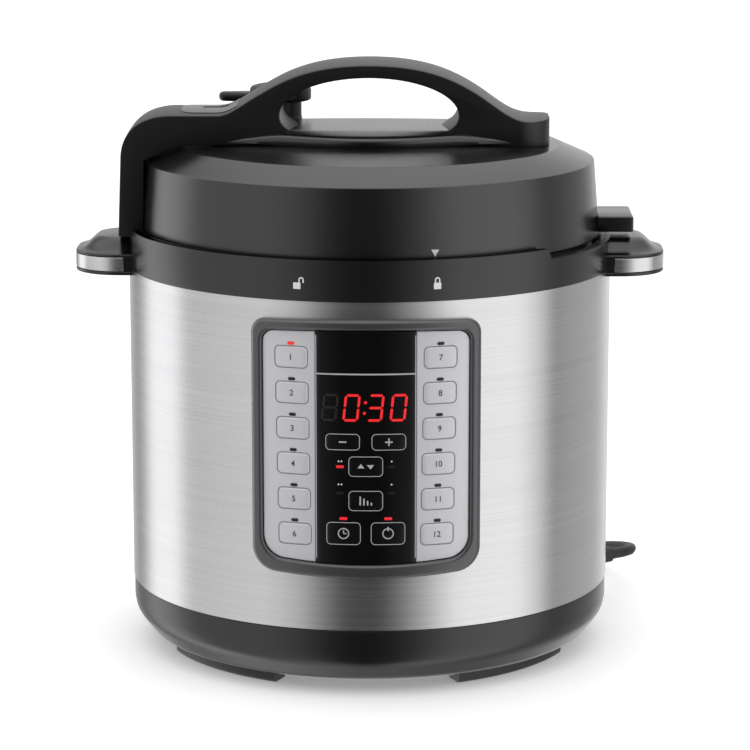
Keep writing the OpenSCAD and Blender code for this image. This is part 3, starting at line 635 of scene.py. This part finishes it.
def make_lid():
    r = LID_R - 1.1 * MM
    top = LID_FLAT
    inner = r - 2.5 * MM
    profile = softened([
        (0.00001, top), (50 * MM, top), (107.6 * MM, top - 2.7 * MM), (108.6 * MM, top - 2.75 * MM),
        (109.4 * MM, top - 3.1 * MM), (r - 2.9 * MM, top - 11.4 * MM),
        (r - 1 * MM, LIP + 13.8 * MM), (r, LID_LOW + 1 * MM), (r - 0.6 * MM, LID_LOW),
        (inner + 0.4 * MM, LID_LOW), (inner, LID_LOW + 0.6 * MM), (inner - 3 * MM, top - 13.6 * MM),
        (inner - 23 * MM, top - 6.2 * MM), (40 * MM, top - 3.4 * MM), (0.00001, top - 3.4 * MM)],
        0.6 * MM, 3)
    add_piece("lid_shell", lathe(profile), FINISH["lid_plastic"], "lid", "lid_plastic", 35,
              replaces=["lid_cover"])


def make_lid_fin():
    """The fin at the right, which stands in the side handle's slot when the lid is put aside."""
    bm = bmesh.new()
    z0, z1 = LIP_LOW + 3.4 * MM, LIP_LOW + 12.4 * MM
    length, breadth, middle = 21 * MM, 42 * MM, 139.6 * MM
    bmesh.ops.create_cube(bm, size=1)
    bmesh.ops.scale(bm, vec=(length, breadth, z1 - z0), verts=bm.verts)
    bmesh.ops.translate(bm, vec=(middle, 0, (z0 + z1) / 2), verts=bm.verts)
    upright = [e for e in bm.edges if abs(e.verts[0].co.z - e.verts[1].co.z) > 1 * MM
               and e.verts[0].co.x > middle]
    bevel(bm, upright, 1.3 * MM, 4)
    bevel(bm, [e for e in bm.edges if e.calc_face_angle(0) > 0.8], 1.1 * MM, 3)
    add_piece("lid_fin", bm, FINISH["lid_plastic"], "lid", "lid_plastic")


# ---------------------------------------------------------------- the lid's handle
ARCH_HALF = 60 * MM
ARCH_FOOT = SHOULDER + 12.9 * MM
ARCH_Z = SHOULDER + 28.3 * MM
TAIL_Z = SHOULDER - 3.8 * MM
GRIP_CORNER_X = 40.5 * MM
INLAY_X = -107 * MM


def shoulder_curve(n):
    """The rise from the bar's shoulder to its arch."""
    s = SHOULDER
    return bezier((-86 * MM, s), (-78 * MM, s), (-72 * MM, s + 6.5 * MM), (-ARCH_HALF, ARCH_FOOT), n)


def handle_outline():
    """The bar from its front: along its upper line from the arm's foot, and back along its underside."""
    s = SHOULDER
    lid = LID_FLAT
    floor_z = lid + 7.5 * MM
    a = 1.2 * MM - ARM_X
    foot = LIP_LOW + 1.4 * MM
    grip, rise = 50.5 * MM, 21.3 * MM
    upper = [(a, foot), (a + 0.6 * MM, foot + 16 * MM), (a + 1.2 * MM, foot + 31 * MM)]
    upper += bezier((a + 1.8 * MM, s - 24 * MM), (a + 3 * MM, s - 9 * MM), (a + 13 * MM, s - 0.5 * MM),
                    (a + 29 * MM, s), 16)
    upper += shoulder_curve(14)
    arch = bezier((-ARCH_HALF, ARCH_FOOT), (-46 * MM, s + 21.5 * MM), (-30 * MM, ARCH_Z), (0, ARCH_Z), 20)
    upper += arch[1:] + [(-x, z) for x, z in reversed(arch[:-1])]
    upper += bezier((ARCH_HALF, ARCH_FOOT), (72 * MM, s + 5.5 * MM), (80 * MM, TAIL_Z),
                    (93 * MM, TAIL_Z), 14)[1:] + [(TAIL_X, TAIL_Z)]
    inner = [(-GRIP_CORNER_X, lid - 0.3 * MM)]
    inner += arc(-GRIP_CORNER_X, floor_z + 10 * MM, 10 * MM, 270, 190, 8)
    quarter = [math.pi * i / 40 for i in range(1, 21)]
    inner += [(-grip * math.cos(t), s + rise * math.sin(t)) for t in quarter]
    under = [(TAIL_X, lid - 2.6 * MM), (54 * MM, lid - 0.3 * MM)]
    under += [(-x, z) for x, z in inner[:-1]] + inner[::-1]
    under += [(INLAY_X, lid - 1.2 * MM), (-112 * MM, lid - 3 * MM), (-127.2 * MM, lid - 10 * MM),
              (-127 * MM, lid - 13 * MM), (-127.4 * MM, foot + 16 * MM), (-128 * MM, foot)]
    return upper, under


def narrowed(bm, end, radius, half, way=1):
    """Rounds a bar's two corners, seen from above, by drawing its sides in towards its end."""
    for v in bm.verts:
        u = way * (v.co.x - end) + radius
        if u > 0:
            u = min(u, radius * 0.9999)
            v.co.y *= (half - radius + math.sqrt(radius * radius - u * u)) / half


def make_handle():
    upper, under = handle_outline()
    bm = bmesh.new()
    bm.faces.new([bm.verts.new((x, -BAR_HALF, z)) for x, z in upper + under])
    carry(bm, (0, 2 * BAR_HALF, 0))
    bmesh.ops.recalc_face_normals(bm, faces=bm.faces)
    corner = 18 * MM
    for k in range(14):
        x = TAIL_X - corner * (1 - math.sin(math.pi / 2 * k / 14))
        bmesh.ops.bisect_plane(bm, geom=bm.verts[:] + bm.edges[:] + bm.faces[:], dist=1e-6,
                               plane_co=(x, 0, 0), plane_no=(1, 0, 0))
    narrowed(bm, TAIL_X, corner, BAR_HALF)
    rim = [e for e in bm.edges if len(e.link_faces) == 2 and e.calc_face_angle(0) > math.radians(50)
           and max(v.co.z for v in e.verts) > LIP_LOW + 2 * MM
           and abs(e.verts[0].co.y - e.verts[1].co.y) < 8 * MM]
    bevel(bm, rim, 2.4 * MM, 4)
    cut_across(bm, BAR_HALF / 5, axis=1)
    for v in bm.verts:
        share = (v.co.z - SHOULDER + 22 * MM) / (20 * MM)
        if share > 0:
            v.co.z -= CROWN * (v.co.y / BAR_HALF) ** 2 * min(1, share)
    add_piece("handle_bar", bm, FINISH["handle_plastic"], "lid", "handle_plastic", 38,
              replaces=["lid_handle"])


def make_handle_plate():
    """The bar's skirt, which swells to a round plate under the grip, front and rear."""
    span, level, swell = 84 * MM, 44 * MM, 22 * MM
    steps = 80
    rows = []
    for i in range(steps + 1):
        x = span * (2 * i / steps - 1)
        out = swell * (0.5 + 0.5 * math.cos(math.pi * x / span))
        along = max(0, abs(x) - level) / (span - level)
        sink = 1 - 0.86 * along * along * (3 - 2 * along)
        face = BAR_HALF - (1.5 + 0.5 * along) * MM
        thin = min(1, out / (9 * MM))
        section = [(0, 7.55), (face - 6 * MM, 7.55), (face, 7.5), (face + 2 * MM + out * 0.2, 7.3),
                   (face + 1.6 * MM + out * 0.62, 6.9 - 0.9 * thin), (face + 1.7 * MM + out * 0.93, 5.2),
                   (face + 1.75 * MM + out * 0.99, 4.1), (face + 1.8 * MM + out, 2.9),
                   (face + 1.9 * MM + out, 0.5), (face + 1.2 * MM + out, -0.4)]
        rows.append([(x, y, LID_FLAT + z * MM * sink) for y, z in section])
    for name, way in (("front", -1), ("rear", 1)):
        bm = bmesh.new()
        grid = [[bm.verts.new((x, way * y, z)) for x, y, z in row] for row in rows]
        skin(bm, grid)
        add_piece(f"handle_plate_{name}", bm, FINISH["lid_plastic"], "lid", "handle_plastic", 50)


def make_inlay():
    """The flush panel on the arm's shoulder, with the float valve's window."""
    half, slot_half = 20.2 * MM, 4 * MM
    slot_from, slot_to = -95 * MM, -80 * MM
    line = [(INLAY_X, SHOULDER)] + shoulder_curve(10)[:6]
    bm = bmesh.new()
    verts = [bm.verts.new((x, -half, z)) for x, z in line]
    sweep(bm, verts, (0, 2 * half, 0))
    cut_across(bm, half / 10, axis=1)
    cut_across(bm, 1 * MM)
    slot = [f for f in bm.faces if abs(f.calc_center_median().y) < slot_half
            and slot_from < f.calc_center_median().x < slot_to]
    bmesh.ops.delete(bm, geom=slot, context="FACES")
    narrowed(bm, INLAY_X, 9 * MM, half, way=-1)
    for v in bm.verts:
        v.co.z += 0.3 * MM - CROWN * (v.co.y / BAR_HALF) ** 2
    piece = add_piece("shoulder_inlay", bm, FINISH["inlay_black"], "lid", "inlay_black", 40,
                      replaces=["handle_inlay"])
    sheet_thickness(piece, 1.4 * MM)


# ---------------------------------------------------------------- valves on the lid
VALVE = (-53 * MM, 49 * MM)
VALVE_CAP = SHOULDER - 1 * MM


def make_valve_stem():
    cap = VALVE_CAP
    post = softened([(0.00001, cap - 0.4 * MM), (11.4 * MM, cap - 0.4 * MM), (12.3 * MM, cap - 1.3 * MM),
                     (12.3 * MM, cap - 9 * MM), (13.2 * MM, cap - 12 * MM),
                     (13.8 * MM, cap - 17.5 * MM), (13.8 * MM, cap - 19 * MM), (0.00001, cap - 19 * MM)],
                    1 * MM)
    add_piece("valve_stem", lathe(post, 72, VALVE), FINISH["dark_plastic"], "lid", "dark_plastic", 35)


def make_valve_knob():
    cap = VALVE_CAP
    knob = softened([(0.00001, cap), (16.8 * MM, cap), (18 * MM, cap + 1.1 * MM), (18 * MM, cap + 6.6 * MM),
                     (16.9 * MM, cap + 8.3 * MM), (12 * MM, cap + 9.6 * MM), (0.00001, cap + 10.1 * MM)],
                    1.6 * MM)
    add_piece("valve_knob", lathe(knob, 96, VALVE), FINISH["handle_plastic"], "steam_valve",
              "handle_plastic", 35, replaces=["steam_valve"])


def make_valve_lever():
    outline = ([(-17 * MM, -7.5 * MM)] + arc(-31.5 * MM, 0, 4.6 * MM, 265, 95, 10) + [(-17 * MM, 7.5 * MM)])
    bm = bmesh.new()
    bm.faces.new([bm.verts.new((x, y, VALVE_CAP - 0.6 * MM)) for x, y in outline])
    carry(bm, (0, 0, 5.5 * MM))
    bmesh.ops.recalc_face_normals(bm, faces=bm.faces)
    bevel(bm, [e for e in bm.edges if e.calc_face_angle(0) > 0.8], 2.4 * MM, 6)
    bmesh.ops.translate(bm, verts=bm.verts, vec=(*VALVE, 0))
    add_piece("valve_lever", bm, FINISH["handle_plastic"], "steam_valve", "handle_plastic")


# ---------------------------------------------------------------- side handles
def handle_plan(inset, r=26 * MM):
    half, x = 33 * MM, BODY_R + 30.4 * MM
    return ([(BODY_R - 12 * MM, -(half - inset))]
            + arc(x - r, -(half - r), r - inset, -90, 0, 12)
            + arc(x - r, half - r, r - inset, 0, 90, 12) + [(BODY_R - 12 * MM, half - inset)])


def stand_up(outline, z0, z1):
    """An (x, y) outline carried from z0 to z1."""
    bm = bmesh.new()
    bm.faces.new([bm.verts.new((x, y, z0)) for x, y in outline])
    carry(bm, (0, 0, z1 - z0))
    bmesh.ops.recalc_face_normals(bm, faces=bm.faces)
    return bm


def handle_hump(rim, plateau):
    """The raised middle of a side handle's top."""
    bm = bmesh.new()
    loops = []
    for inset, rise in ((1.3, -0.02), (3, 0.02), (5, 0.12), (7.5, 0.38), (10, 0.7), (12.5, 0.93), (15, 1)):
        z = rim + (plateau - rim) * rise
        loops.append([bm.verts.new((x, y, z)) for x, y in handle_plan(inset * MM)])
    skin(bm, loops)
    bm.faces.new(loops[-1])
    return bm


def handle_band(z0, height):
    """The steel band round a side handle's edge."""
    band = handle_plan(-0.1 * MM)[1:-1]
    start = BODY_R + 1.0 * MM
    bm = bmesh.new()
    line = [bm.verts.new((x, y, z0)) for x, y in [(start, band[0][1])] + band + [(start, band[-1][1])]]
    sweep(bm, line, (0, 0, height))
    return bm


def make_side_handles():
    base = SLEEVE_TOP - 3.8 * MM
    rim = base + 12.7 * MM
    plateau = LIP_LOW - 0.3 * MM
    for name, turn in (("right", 0), ("left", math.pi)):
        def place(label, bm, finish="black_plastic", **more):
            bmesh.ops.rotate(bm, verts=bm.verts, cent=ZERO, matrix=Matrix.Rotation(turn, 3, "Z"))
            return add_piece(f"side_{label}", bm, FINISH[finish], slot=finish, **more)

        bm = stand_up(handle_plan(1.1 * MM), base, rim)
        bevel(bm, rims(bm, base, 2), 2.2 * MM, 4)
        bevel(bm, rims(bm, rim, 2), 1.4 * MM, 3)
        place(f"handle_{name}", bm, replaces=[f"handle_{name}"])
        lips = (base + 0.4 * MM, SLEEVE_TOP - 1.2 * MM), (SLEEVE_TOP + 7 * MM, rim - 0.2 * MM)
        for k, (z0, z1) in enumerate(lips):
            bm = stand_up(handle_plan(0), z0, z1)
            bevel(bm, rims(bm, z0, 2) + rims(bm, z1, 2), 0.8 * MM, 3)
            place(f"handle_{name}_lip_{k + 1}", bm)
        place(f"handle_{name}_hump", handle_hump(rim, plateau), smooth=60)
        trim = place(f"trim_{name}", handle_band(SLEEVE_TOP - 1 * MM, 7.8 * MM), "sleeve_steel",
                     replaces=[f"trim_{name}"])
        sheet_thickness(trim, 0.8 * MM)
        edge = trim.modifiers.new("edge", "BEVEL")
        edge.width = 0.2 * MM
        edge.segments = 2


# ---------------------------------------------------------------- control panel
FIELD_HALF = 55.8 * MM
PANEL_TOP = SLEEVE_TOP - 9.9 * MM
PANEL_FOOT = SLEEVE_LOW + 31.7 * MM
FIELD_TOP = PANEL_TOP - 6 * MM
FIELD_FOOT = PANEL_FOOT + 8.1 * MM
PITCH = (PANEL_TOP - PANEL_FOOT - 42.4 * MM) / 5
WINDOW_HALF = 27 * MM
# how far the faces of the strips, the window and the two kinds of keys stand off the sleeve
STRIP_FACE = 2.6 * MM
WINDOW_FACE = 2.85 * MM
SILVER_FACE = 3.3 * MM
BLACK_FACE = 3.0 * MM


def field(half, z0, z1, r0, r1, n=8):
    top, foot = half - r1, half - r0
    marks = (0.75, 0.5, 0.25, 0, -0.25, -0.5, -0.75)
    return (arc(half - r0, z0 + r0, r0, 270, 360, n) + arc(half - r1, z1 - r1, r1, 0, 90, n)
            + [(x * top, z1 + 1 * MM * (1 - x * x)) for x in marks]
            + arc(r1 - half, z1 - r1, r1, 90, 180, n) + arc(r0 - half, z0 + r0, r0, 180, 270, n)
            + [(-x * foot, z0 - 2 * MM * (1 - x * x)) for x in marks])


def key_height(row):
    return PANEL_TOP - 20.1 * MM - row * PITCH


def around(distance):
    """Degrees for a distance round the sleeve."""
    return math.degrees(distance / BODY_R)


def key_turn(row):
    return around((40 - 0.34 * row) * MM)


def make_bezel():
    outer = field(62 * MM, PANEL_FOOT, PANEL_TOP, 13.5 * MM, 8 * MM)
    inner = field(FIELD_HALF, FIELD_FOOT, FIELD_TOP, 12 * MM, 6 * MM)
    bm = slab(outer, 3 * MM, -4.6 * MM, inner)
    bmesh.ops.recalc_face_normals(bm, faces=bm.faces)
    bevel(bm, rims(bm, -4.6 * MM), 2.8 * MM, 8)
    add_piece("panel_frame", onto_body(bm), FINISH["bezel_grey"], slot="bezel_grey",
              replaces=["panel_bezel"])


def half_field(x0, x1, gap=0.25 * MM):
    """The panel's field between two x values, as an outline."""
    whole = field(FIELD_HALF - gap, FIELD_FOOT + gap, FIELD_TOP - gap, 12 * MM, 6 * MM)
    bm = bmesh.new()
    bm.faces.new([bm.verts.new((x, 0, z)) for x, z in whole])
    for x, way in ((x0, -1), (x1, 1)):
        bmesh.ops.bisect_plane(bm, geom=bm.verts[:] + bm.edges[:] + bm.faces[:], dist=1e-6,
                               plane_co=(x, 0, 0), plane_no=(way, 0, 0), clear_outer=True)
    return bm


def thicken_forwards(bm, y0, y1):
    bmesh.ops.translate(bm, verts=bm.verts, vec=(0, y0, 0))
    carry(bm, (0, y1 - y0, 0))
    bmesh.ops.recalc_face_normals(bm, faces=bm.faces)


def make_strips():
    for name, x0, x1 in (("left", -1, -WINDOW_HALF - 0.2 * MM), ("right", WINDOW_HALF + 0.2 * MM, 1)):
        bm = half_field(x0, x1)
        thicken_forwards(bm, 0.6 * MM, -STRIP_FACE)
        bevel(bm, rims(bm, -STRIP_FACE), 0.35 * MM, 2)
        add_piece(f"key_strip_{name}", onto_body(bm), FINISH["panel_silver"], slot="panel_silver",
                  replaces=[f"strip_{name}"])
    bm = half_field(-WINDOW_HALF, WINDOW_HALF)
    thicken_forwards(bm, 0.6 * MM, -WINDOW_FACE)
    bevel(bm, rims(bm, -WINDOW_FACE), 0.35 * MM, 3)
    add_piece("display_window", onto_body(bm), FINISH["window_black"], slot="window_black",
              replaces=["panel_window"])


def flat_print(name, outlines, out, material, body="base", slot="panel_silver", turn=0.0, lift=0.0,
               radius=None, holes=(), depth=0.12 * MM):
    """Ink, a lamp, a ring of painted groove shade or a painted highlight line: thin shapes that stand just
    over the surface below them.
    """
    whole = bmesh.new()
    mesh = bpy.data.meshes.new(name)
    for k, outline in enumerate(outlines):
        hole = holes[k] if k < len(holes) else None
        bm = slab(outline, -out, -out - depth, hole)
        onto_body(bm, radius, turn, lift)
        bm.to_mesh(mesh)
        bm.free()
        whole.from_mesh(mesh)
    bpy.data.meshes.remove(mesh)
    return add_piece(name, whole, material, body, slot)


def digits_outline(text, size, x=0.0, z=0.0):
    """Plain numerals as a flat mesh in the X-Z plane, centred on (x, z)."""
    curve = bpy.data.curves.new("numeral", "FONT")
    curve.body, curve.size = text, size
    curve.align_x, curve.align_y = "CENTER", "CENTER"
    curve.resolution_u = 4
    curve.extrude, curve.offset = 0.06 * MM, 0.05 * MM
    holder = bpy.data.objects.new("numeral", curve)
    bpy.context.scene.collection.objects.link(holder)
    bpy.context.view_layer.update()
    mesh = bpy.data.meshes.new_from_object(holder.evaluated_get(bpy.context.evaluated_depsgraph_get()))
    bpy.data.objects.remove(holder)
    bpy.data.curves.remove(curve)
    bm = bmesh.new()
    bm.from_mesh(mesh)
    bpy.data.meshes.remove(mesh)
    bmesh.ops.rotate(bm, verts=bm.verts, cent=ZERO, matrix=Matrix.Rotation(math.pi / 2, 3, "X"))
    xs, zs = [v.co.x for v in bm.verts], [v.co.z for v in bm.verts]
    bmesh.ops.translate(bm, verts=bm.verts,
                        vec=(x - (min(xs) + max(xs)) / 2, 0, z - (min(zs) + max(zs)) / 2))
    return bm


def print_number(name, text, size, out, material, body, slot, turn, height):
    bm = digits_outline(text, size)
    bmesh.ops.translate(bm, verts=bm.verts, vec=(0, -out, 0))
    onto_body(bm, None, turn, height)
    return add_piece(name, bm, material, body, slot)


def make_silver_keys():
    """Twelve raised keys in two columns, each with a ring of painted shade for its groove, a plain number
    and a lamp above.
    """
    w, h = 18 * MM, 11.4 * MM
    for i in range(12):
        side, row = (-1, i) if i < 6 else (1, i - 6)
        turn, z = side * key_turn(row), key_height(row)
        body = f"key_{i + 1}"
        bm = slab(rounded(w, h, 2.5 * MM), -0.8 * MM, -SILVER_FACE)
        bmesh.ops.recalc_face_normals(bm, faces=bm.faces)
        bevel(bm, rims(bm, -SILVER_FACE), 1.0 * MM, 5)
        add_piece(f"silver_key_{i + 1}", onto_body(bm, None, turn, z), FINISH["key_silver"], body,
                  "key_silver", replaces=[body])
        # a flat dark grey ring round the key: painted shade for its groove, not a cut
        flat_print(f"key_groove_shade_{i + 1}", [rounded(w + 1 * MM, h + 1 * MM, 2.9 * MM)], 2.55 * MM, GROOVE_SHADE,
                   turn=turn, lift=z, holes=[rounded(w + 0.1 * MM, h + 0.1 * MM, 2.5 * MM)])
        print_number(f"key_number_{i + 1}", str(i + 1), 4.6 * MM, SILVER_FACE, DARK_INK, body, "key_silver",
                     turn, z)
        lamp = RED_LAMP if i == 0 else DARK_LAMP
        flat_print(f"key_lamp_{i + 1}", [rounded(4.0 * MM, 1.8 * MM, 0.85 * MM, 4)], 2.56 * MM, lamp,
                   slot="display_red", turn=turn, lift=z + 7.5 * MM, depth=0.2 * MM)


def icon_bars(*bars):
    return [rounded(w * MM, h * MM, min(w, h) * 0.3 * MM, 2, x * MM, z * MM) for x, z, w, h in bars]


def ring_outline(r, n=32):
    return [(r * math.cos(2 * math.pi * i / n), r * math.sin(2 * math.pi * i / n)) for i in range(n)]


def make_black_keys():
    """Six gloss keys, each outlined in white with a plain sign."""
    mid, low_row = (key_height(2) + key_height(3)) / 2 + 3.2 * MM, key_height(5) + 1.3 * MM
    pair, low_pair = around(12.2 * MM), around(11.8 * MM)
    arrow_up = [(-1.9 * MM, -0.9 * MM), (1.9 * MM, -0.9 * MM), (0, 1.5 * MM)]
    arrow_down = [(-1.9 * MM, 0.9 * MM), (0, -1.5 * MM), (1.9 * MM, 0.9 * MM)]

    def shifted(points, x, z):
        return [(px + x * MM, pz + z * MM) for px, pz in points]

    clock = ring_outline(3.1 * MM), ring_outline(2.5 * MM)
    signs = {
        "key_minus": (-pair, mid, 9.2, icon_bars((0, 0, 4.2, 0.8)), ()),
        "key_plus": (pair, mid, 9.2,
                     icon_bars((0, 0, 4.2, 0.8), (0, 1.25, 0.8, 1.7), (0, -1.25, 0.8, 1.7)), ()),
        "key_level": (0, key_height(3) - 0.5 * MM, 11.3,
                      [shifted(arrow_up, -2.6, 0), shifted(arrow_down, 2.6, 0)], ()),
        "key_heat": (0, key_height(4), 11.3,
                     icon_bars((-3, 0, 0.8, 5), (-1, -0.6, 0.8, 3.8), (1, -1.2, 0.8, 2.6),
                               (3, -1.7, 0.8, 1.6)), ()),
        "key_timer": (-low_pair, low_row, 12.7,
                      [clock[0]] + icon_bars((0, 0.9, 0.6, 1.8), (0.8, 0, 1.6, 0.6)), (clock[1],)),
        "key_start": (low_pair, low_row, 12.7,
                      [clock[0]] + icon_bars((0, 2.6, 0.7, 2.4)), (clock[1],)),
    }
    for name, (turn, z, h, sign, holes) in signs.items():
        w, height = 18.8 * MM, h * MM
        bm = slab(rounded(w, height, 2.5 * MM), -0.8 * MM, -BLACK_FACE)
        bmesh.ops.recalc_face_normals(bm, faces=bm.faces)
        bevel(bm, rims(bm, -BLACK_FACE), 0.3 * MM, 3)
        add_piece(f"gloss_{name}", onto_body(bm, None, turn, z), FINISH["key_black"], name, "key_black",
                  replaces=[name])
        flat_print(f"outline_{name}", [rounded(w - 0.2 * MM, height - 0.2 * MM, 2.4 * MM)], 2.97 * MM,
                   LINE_INK_AND_HIGHLIGHT, name, "key_black", turn, z,
                   holes=[rounded(w - 0.9 * MM, height - 0.9 * MM, 2.05 * MM)], depth=0.08 * MM)
        flat_print(f"sign_{name}", sign, 2.97 * MM, LINE_INK_AND_HIGHLIGHT, name, "key_black", turn, z, holes=holes,
                   depth=0.08 * MM)


def make_window_marks():
    """Level lamps with plain dots, two lamps over the lower keys, the line under the bare top, and painted
    highlights along the window's two edges.
    """
    out = WINDOW_FACE + 0.02 * MM
    lamp = rounded(4.2 * MM, 1.5 * MM, 0.5 * MM, 3)

    def at(points, x, z):
        return [(px + x * MM, pz + z) for px, pz in points]

    level, heat, foot = key_height(3) - 0.5 * MM, key_height(4), key_height(5) + 1.3 * MM
    red = [at(lamp, -13.9, level - 0.2 * MM), at(lamp, -12.1, foot + 8.3 * MM),
           at(lamp, 12.1, foot + 8.3 * MM)]
    flat_print("lit_lamps", red, out, RED_LAMP, slot="display_red", depth=0.1 * MM)
    dark = [at(lamp, 13.9, level - 0.2 * MM), at(lamp, -13.9, heat + 4.2 * MM),
            at(lamp, 13.9, heat + 4.2 * MM)]
    flat_print("unlit_lamps", dark, out, DARK_LAMP, slot="display_red", depth=0.1 * MM)
    dots = []
    for x, z, count in ((-13.9, level + 2.8 * MM, 2), (13.9, level + 2.8 * MM, 1),
                        (-13.9, heat + 9 * MM, 2), (13.9, heat + 9 * MM, 1)):
        for k in range(count):
            dots.append(at(ring_outline(0.45 * MM, 12), x + (k - (count - 1) / 2) * 1.6, z))
    flat_print("level_dots", dots, out, WHITE_INK, slot="window_black", depth=0.08 * MM)
    line = rounded(53.4 * MM, 0.8 * MM, 0.3 * MM, 2, 0, PANEL_TOP - 28.5 * MM)
    # painted highlight: two thin grey lines along the window's edges stand in for light caught on the
    # strips' edges
    sides = [rounded(0.5 * MM, FIELD_TOP - FIELD_FOOT - 3 * MM, 0.2 * MM, 2, x,
                     (FIELD_TOP + FIELD_FOOT) / 2) for x in (-26.75 * MM, 26.75 * MM)]
    flat_print("panel_line_and_edge_highlights", [line] + sides, out, LINE_INK_AND_HIGHLIGHT,
               slot="window_black", depth=0.08 * MM)


SEGMENTS = {"0": "abcdef", "3": "abgcd"}


def segment(kind, w, h, t):
    """One bar of a seven-segment numeral, pointed at its ends."""
    gap = 0.25 * MM

    def across(z, wide):
        x = wide / 2 - gap
        return [(-x, z), (-x + t / 2, z + t / 2), (x - t / 2, z + t / 2), (x, z), (x - t / 2, z - t / 2),
                (-x + t / 2, z - t / 2)]

    def upright(x, z0, z1):
        z0, z1 = z0 + gap, z1 - gap
        return [(x, z0), (x - t / 2, z0 + t / 2), (x - t / 2, z1 - t / 2), (x, z1),
                (x + t / 2, z1 - t / 2), (x + t / 2, z0 + t / 2)]

    x, z = w / 2 - t / 2, h / 2 - t / 2
    return {"a": lambda: across(z, 2 * x), "g": lambda: across(0, 2 * x), "d": lambda: across(-z, 2 * x),
            "b": lambda: upright(x, 0, z), "c": lambda: upright(x, -z, 0),
            "f": lambda: upright(-x, 0, z), "e": lambda: upright(-x, -z, 0)}[kind]()


def make_digits():
    """The lit time, 0:30, with an unlit numeral before it."""
    w, h, t = 8.6 * MM, 15 * MM, 1.35 * MM
    out = WINDOW_FACE + 0.02 * MM
    height = PANEL_TOP - 46.8 * MM
    lean = math.tan(math.radians(6))

    def leaning(outline, x):
        return [(px + x + pz * lean, pz) for px, pz in outline]

    shown = []
    for numeral, x in (("0", -7.6), ("3", 5.2), ("0", 17.7)):
        shown += [leaning(segment(k, w, h, t), x * MM) for k in SEGMENTS[numeral]]
    shown += [leaning(rounded(1.5 * MM, 1.5 * MM, 0.3 * MM, 2, 0, z * MM), -0.4 * MM) for z in (2.9, -2.9)]
    flat_print("lit_digits", shown, out, RED_LIGHT, slot="display_red", lift=height,
               depth=0.08 * MM)
    ghost = [leaning(segment(k, w, h, t), -19.3 * MM) for k in "abcdefg"]
    flat_print("unlit_digits", ghost, out, DIM_SEGMENT, slot="display_red", lift=height,
               depth=0.06 * MM)


# ---------------------------------------------------------------- marks on the ring and the lid
def make_marks():
    z = SLEEVE_TOP + 6.6 * MM
    body_shape = rounded(4.1 * MM, 3.5 * MM, 0.2 * MM, 2, 0, 1.75 * MM)

    def shackle(x):
        foot, top, outer, inner = 3.4 * MM, 5 * MM, 1.5 * MM, 0.8 * MM
        return ([(x - outer, foot)] + arc(x, top, outer, 180, 0, 10) + [(x + outer, foot)]
                + [(x + inner, foot)] + arc(x, top, inner, 0, 180, 10) + [(x - inner, foot)])

    for name, turn, x in (("open_padlock", -15.5, 2.4 * MM), ("closed_padlock", 16.1, 0.0)):
        flat_print(name, [body_shape, shackle(x)], 0.12 * MM, WHITE_INK, slot="black_plastic",
                   turn=turn, lift=z, depth=0.08 * MM)
    arrow = [(-2.15 * MM, 1.8 * MM), (0, -2.1 * MM), (2.15 * MM, 1.8 * MM)]
    flat_print("lid_arrow", [arrow], 0.1 * MM, WHITE_INK, "lid", "lid_plastic", turn=16.4,
               lift=LIP + 2.6 * MM, radius=LID_R - 1.5 * MM, depth=0.25 * MM)


for make in (make_base, make_foot_pads, make_top_ring, make_lid, make_lid_fin, make_handle,
             make_handle_plate, make_inlay, make_valve_stem, make_valve_knob, make_valve_lever,
             make_side_handles, make_bezel, make_strips, make_silver_keys, make_black_keys,
             make_window_marks, make_digits, make_marks):
    make()
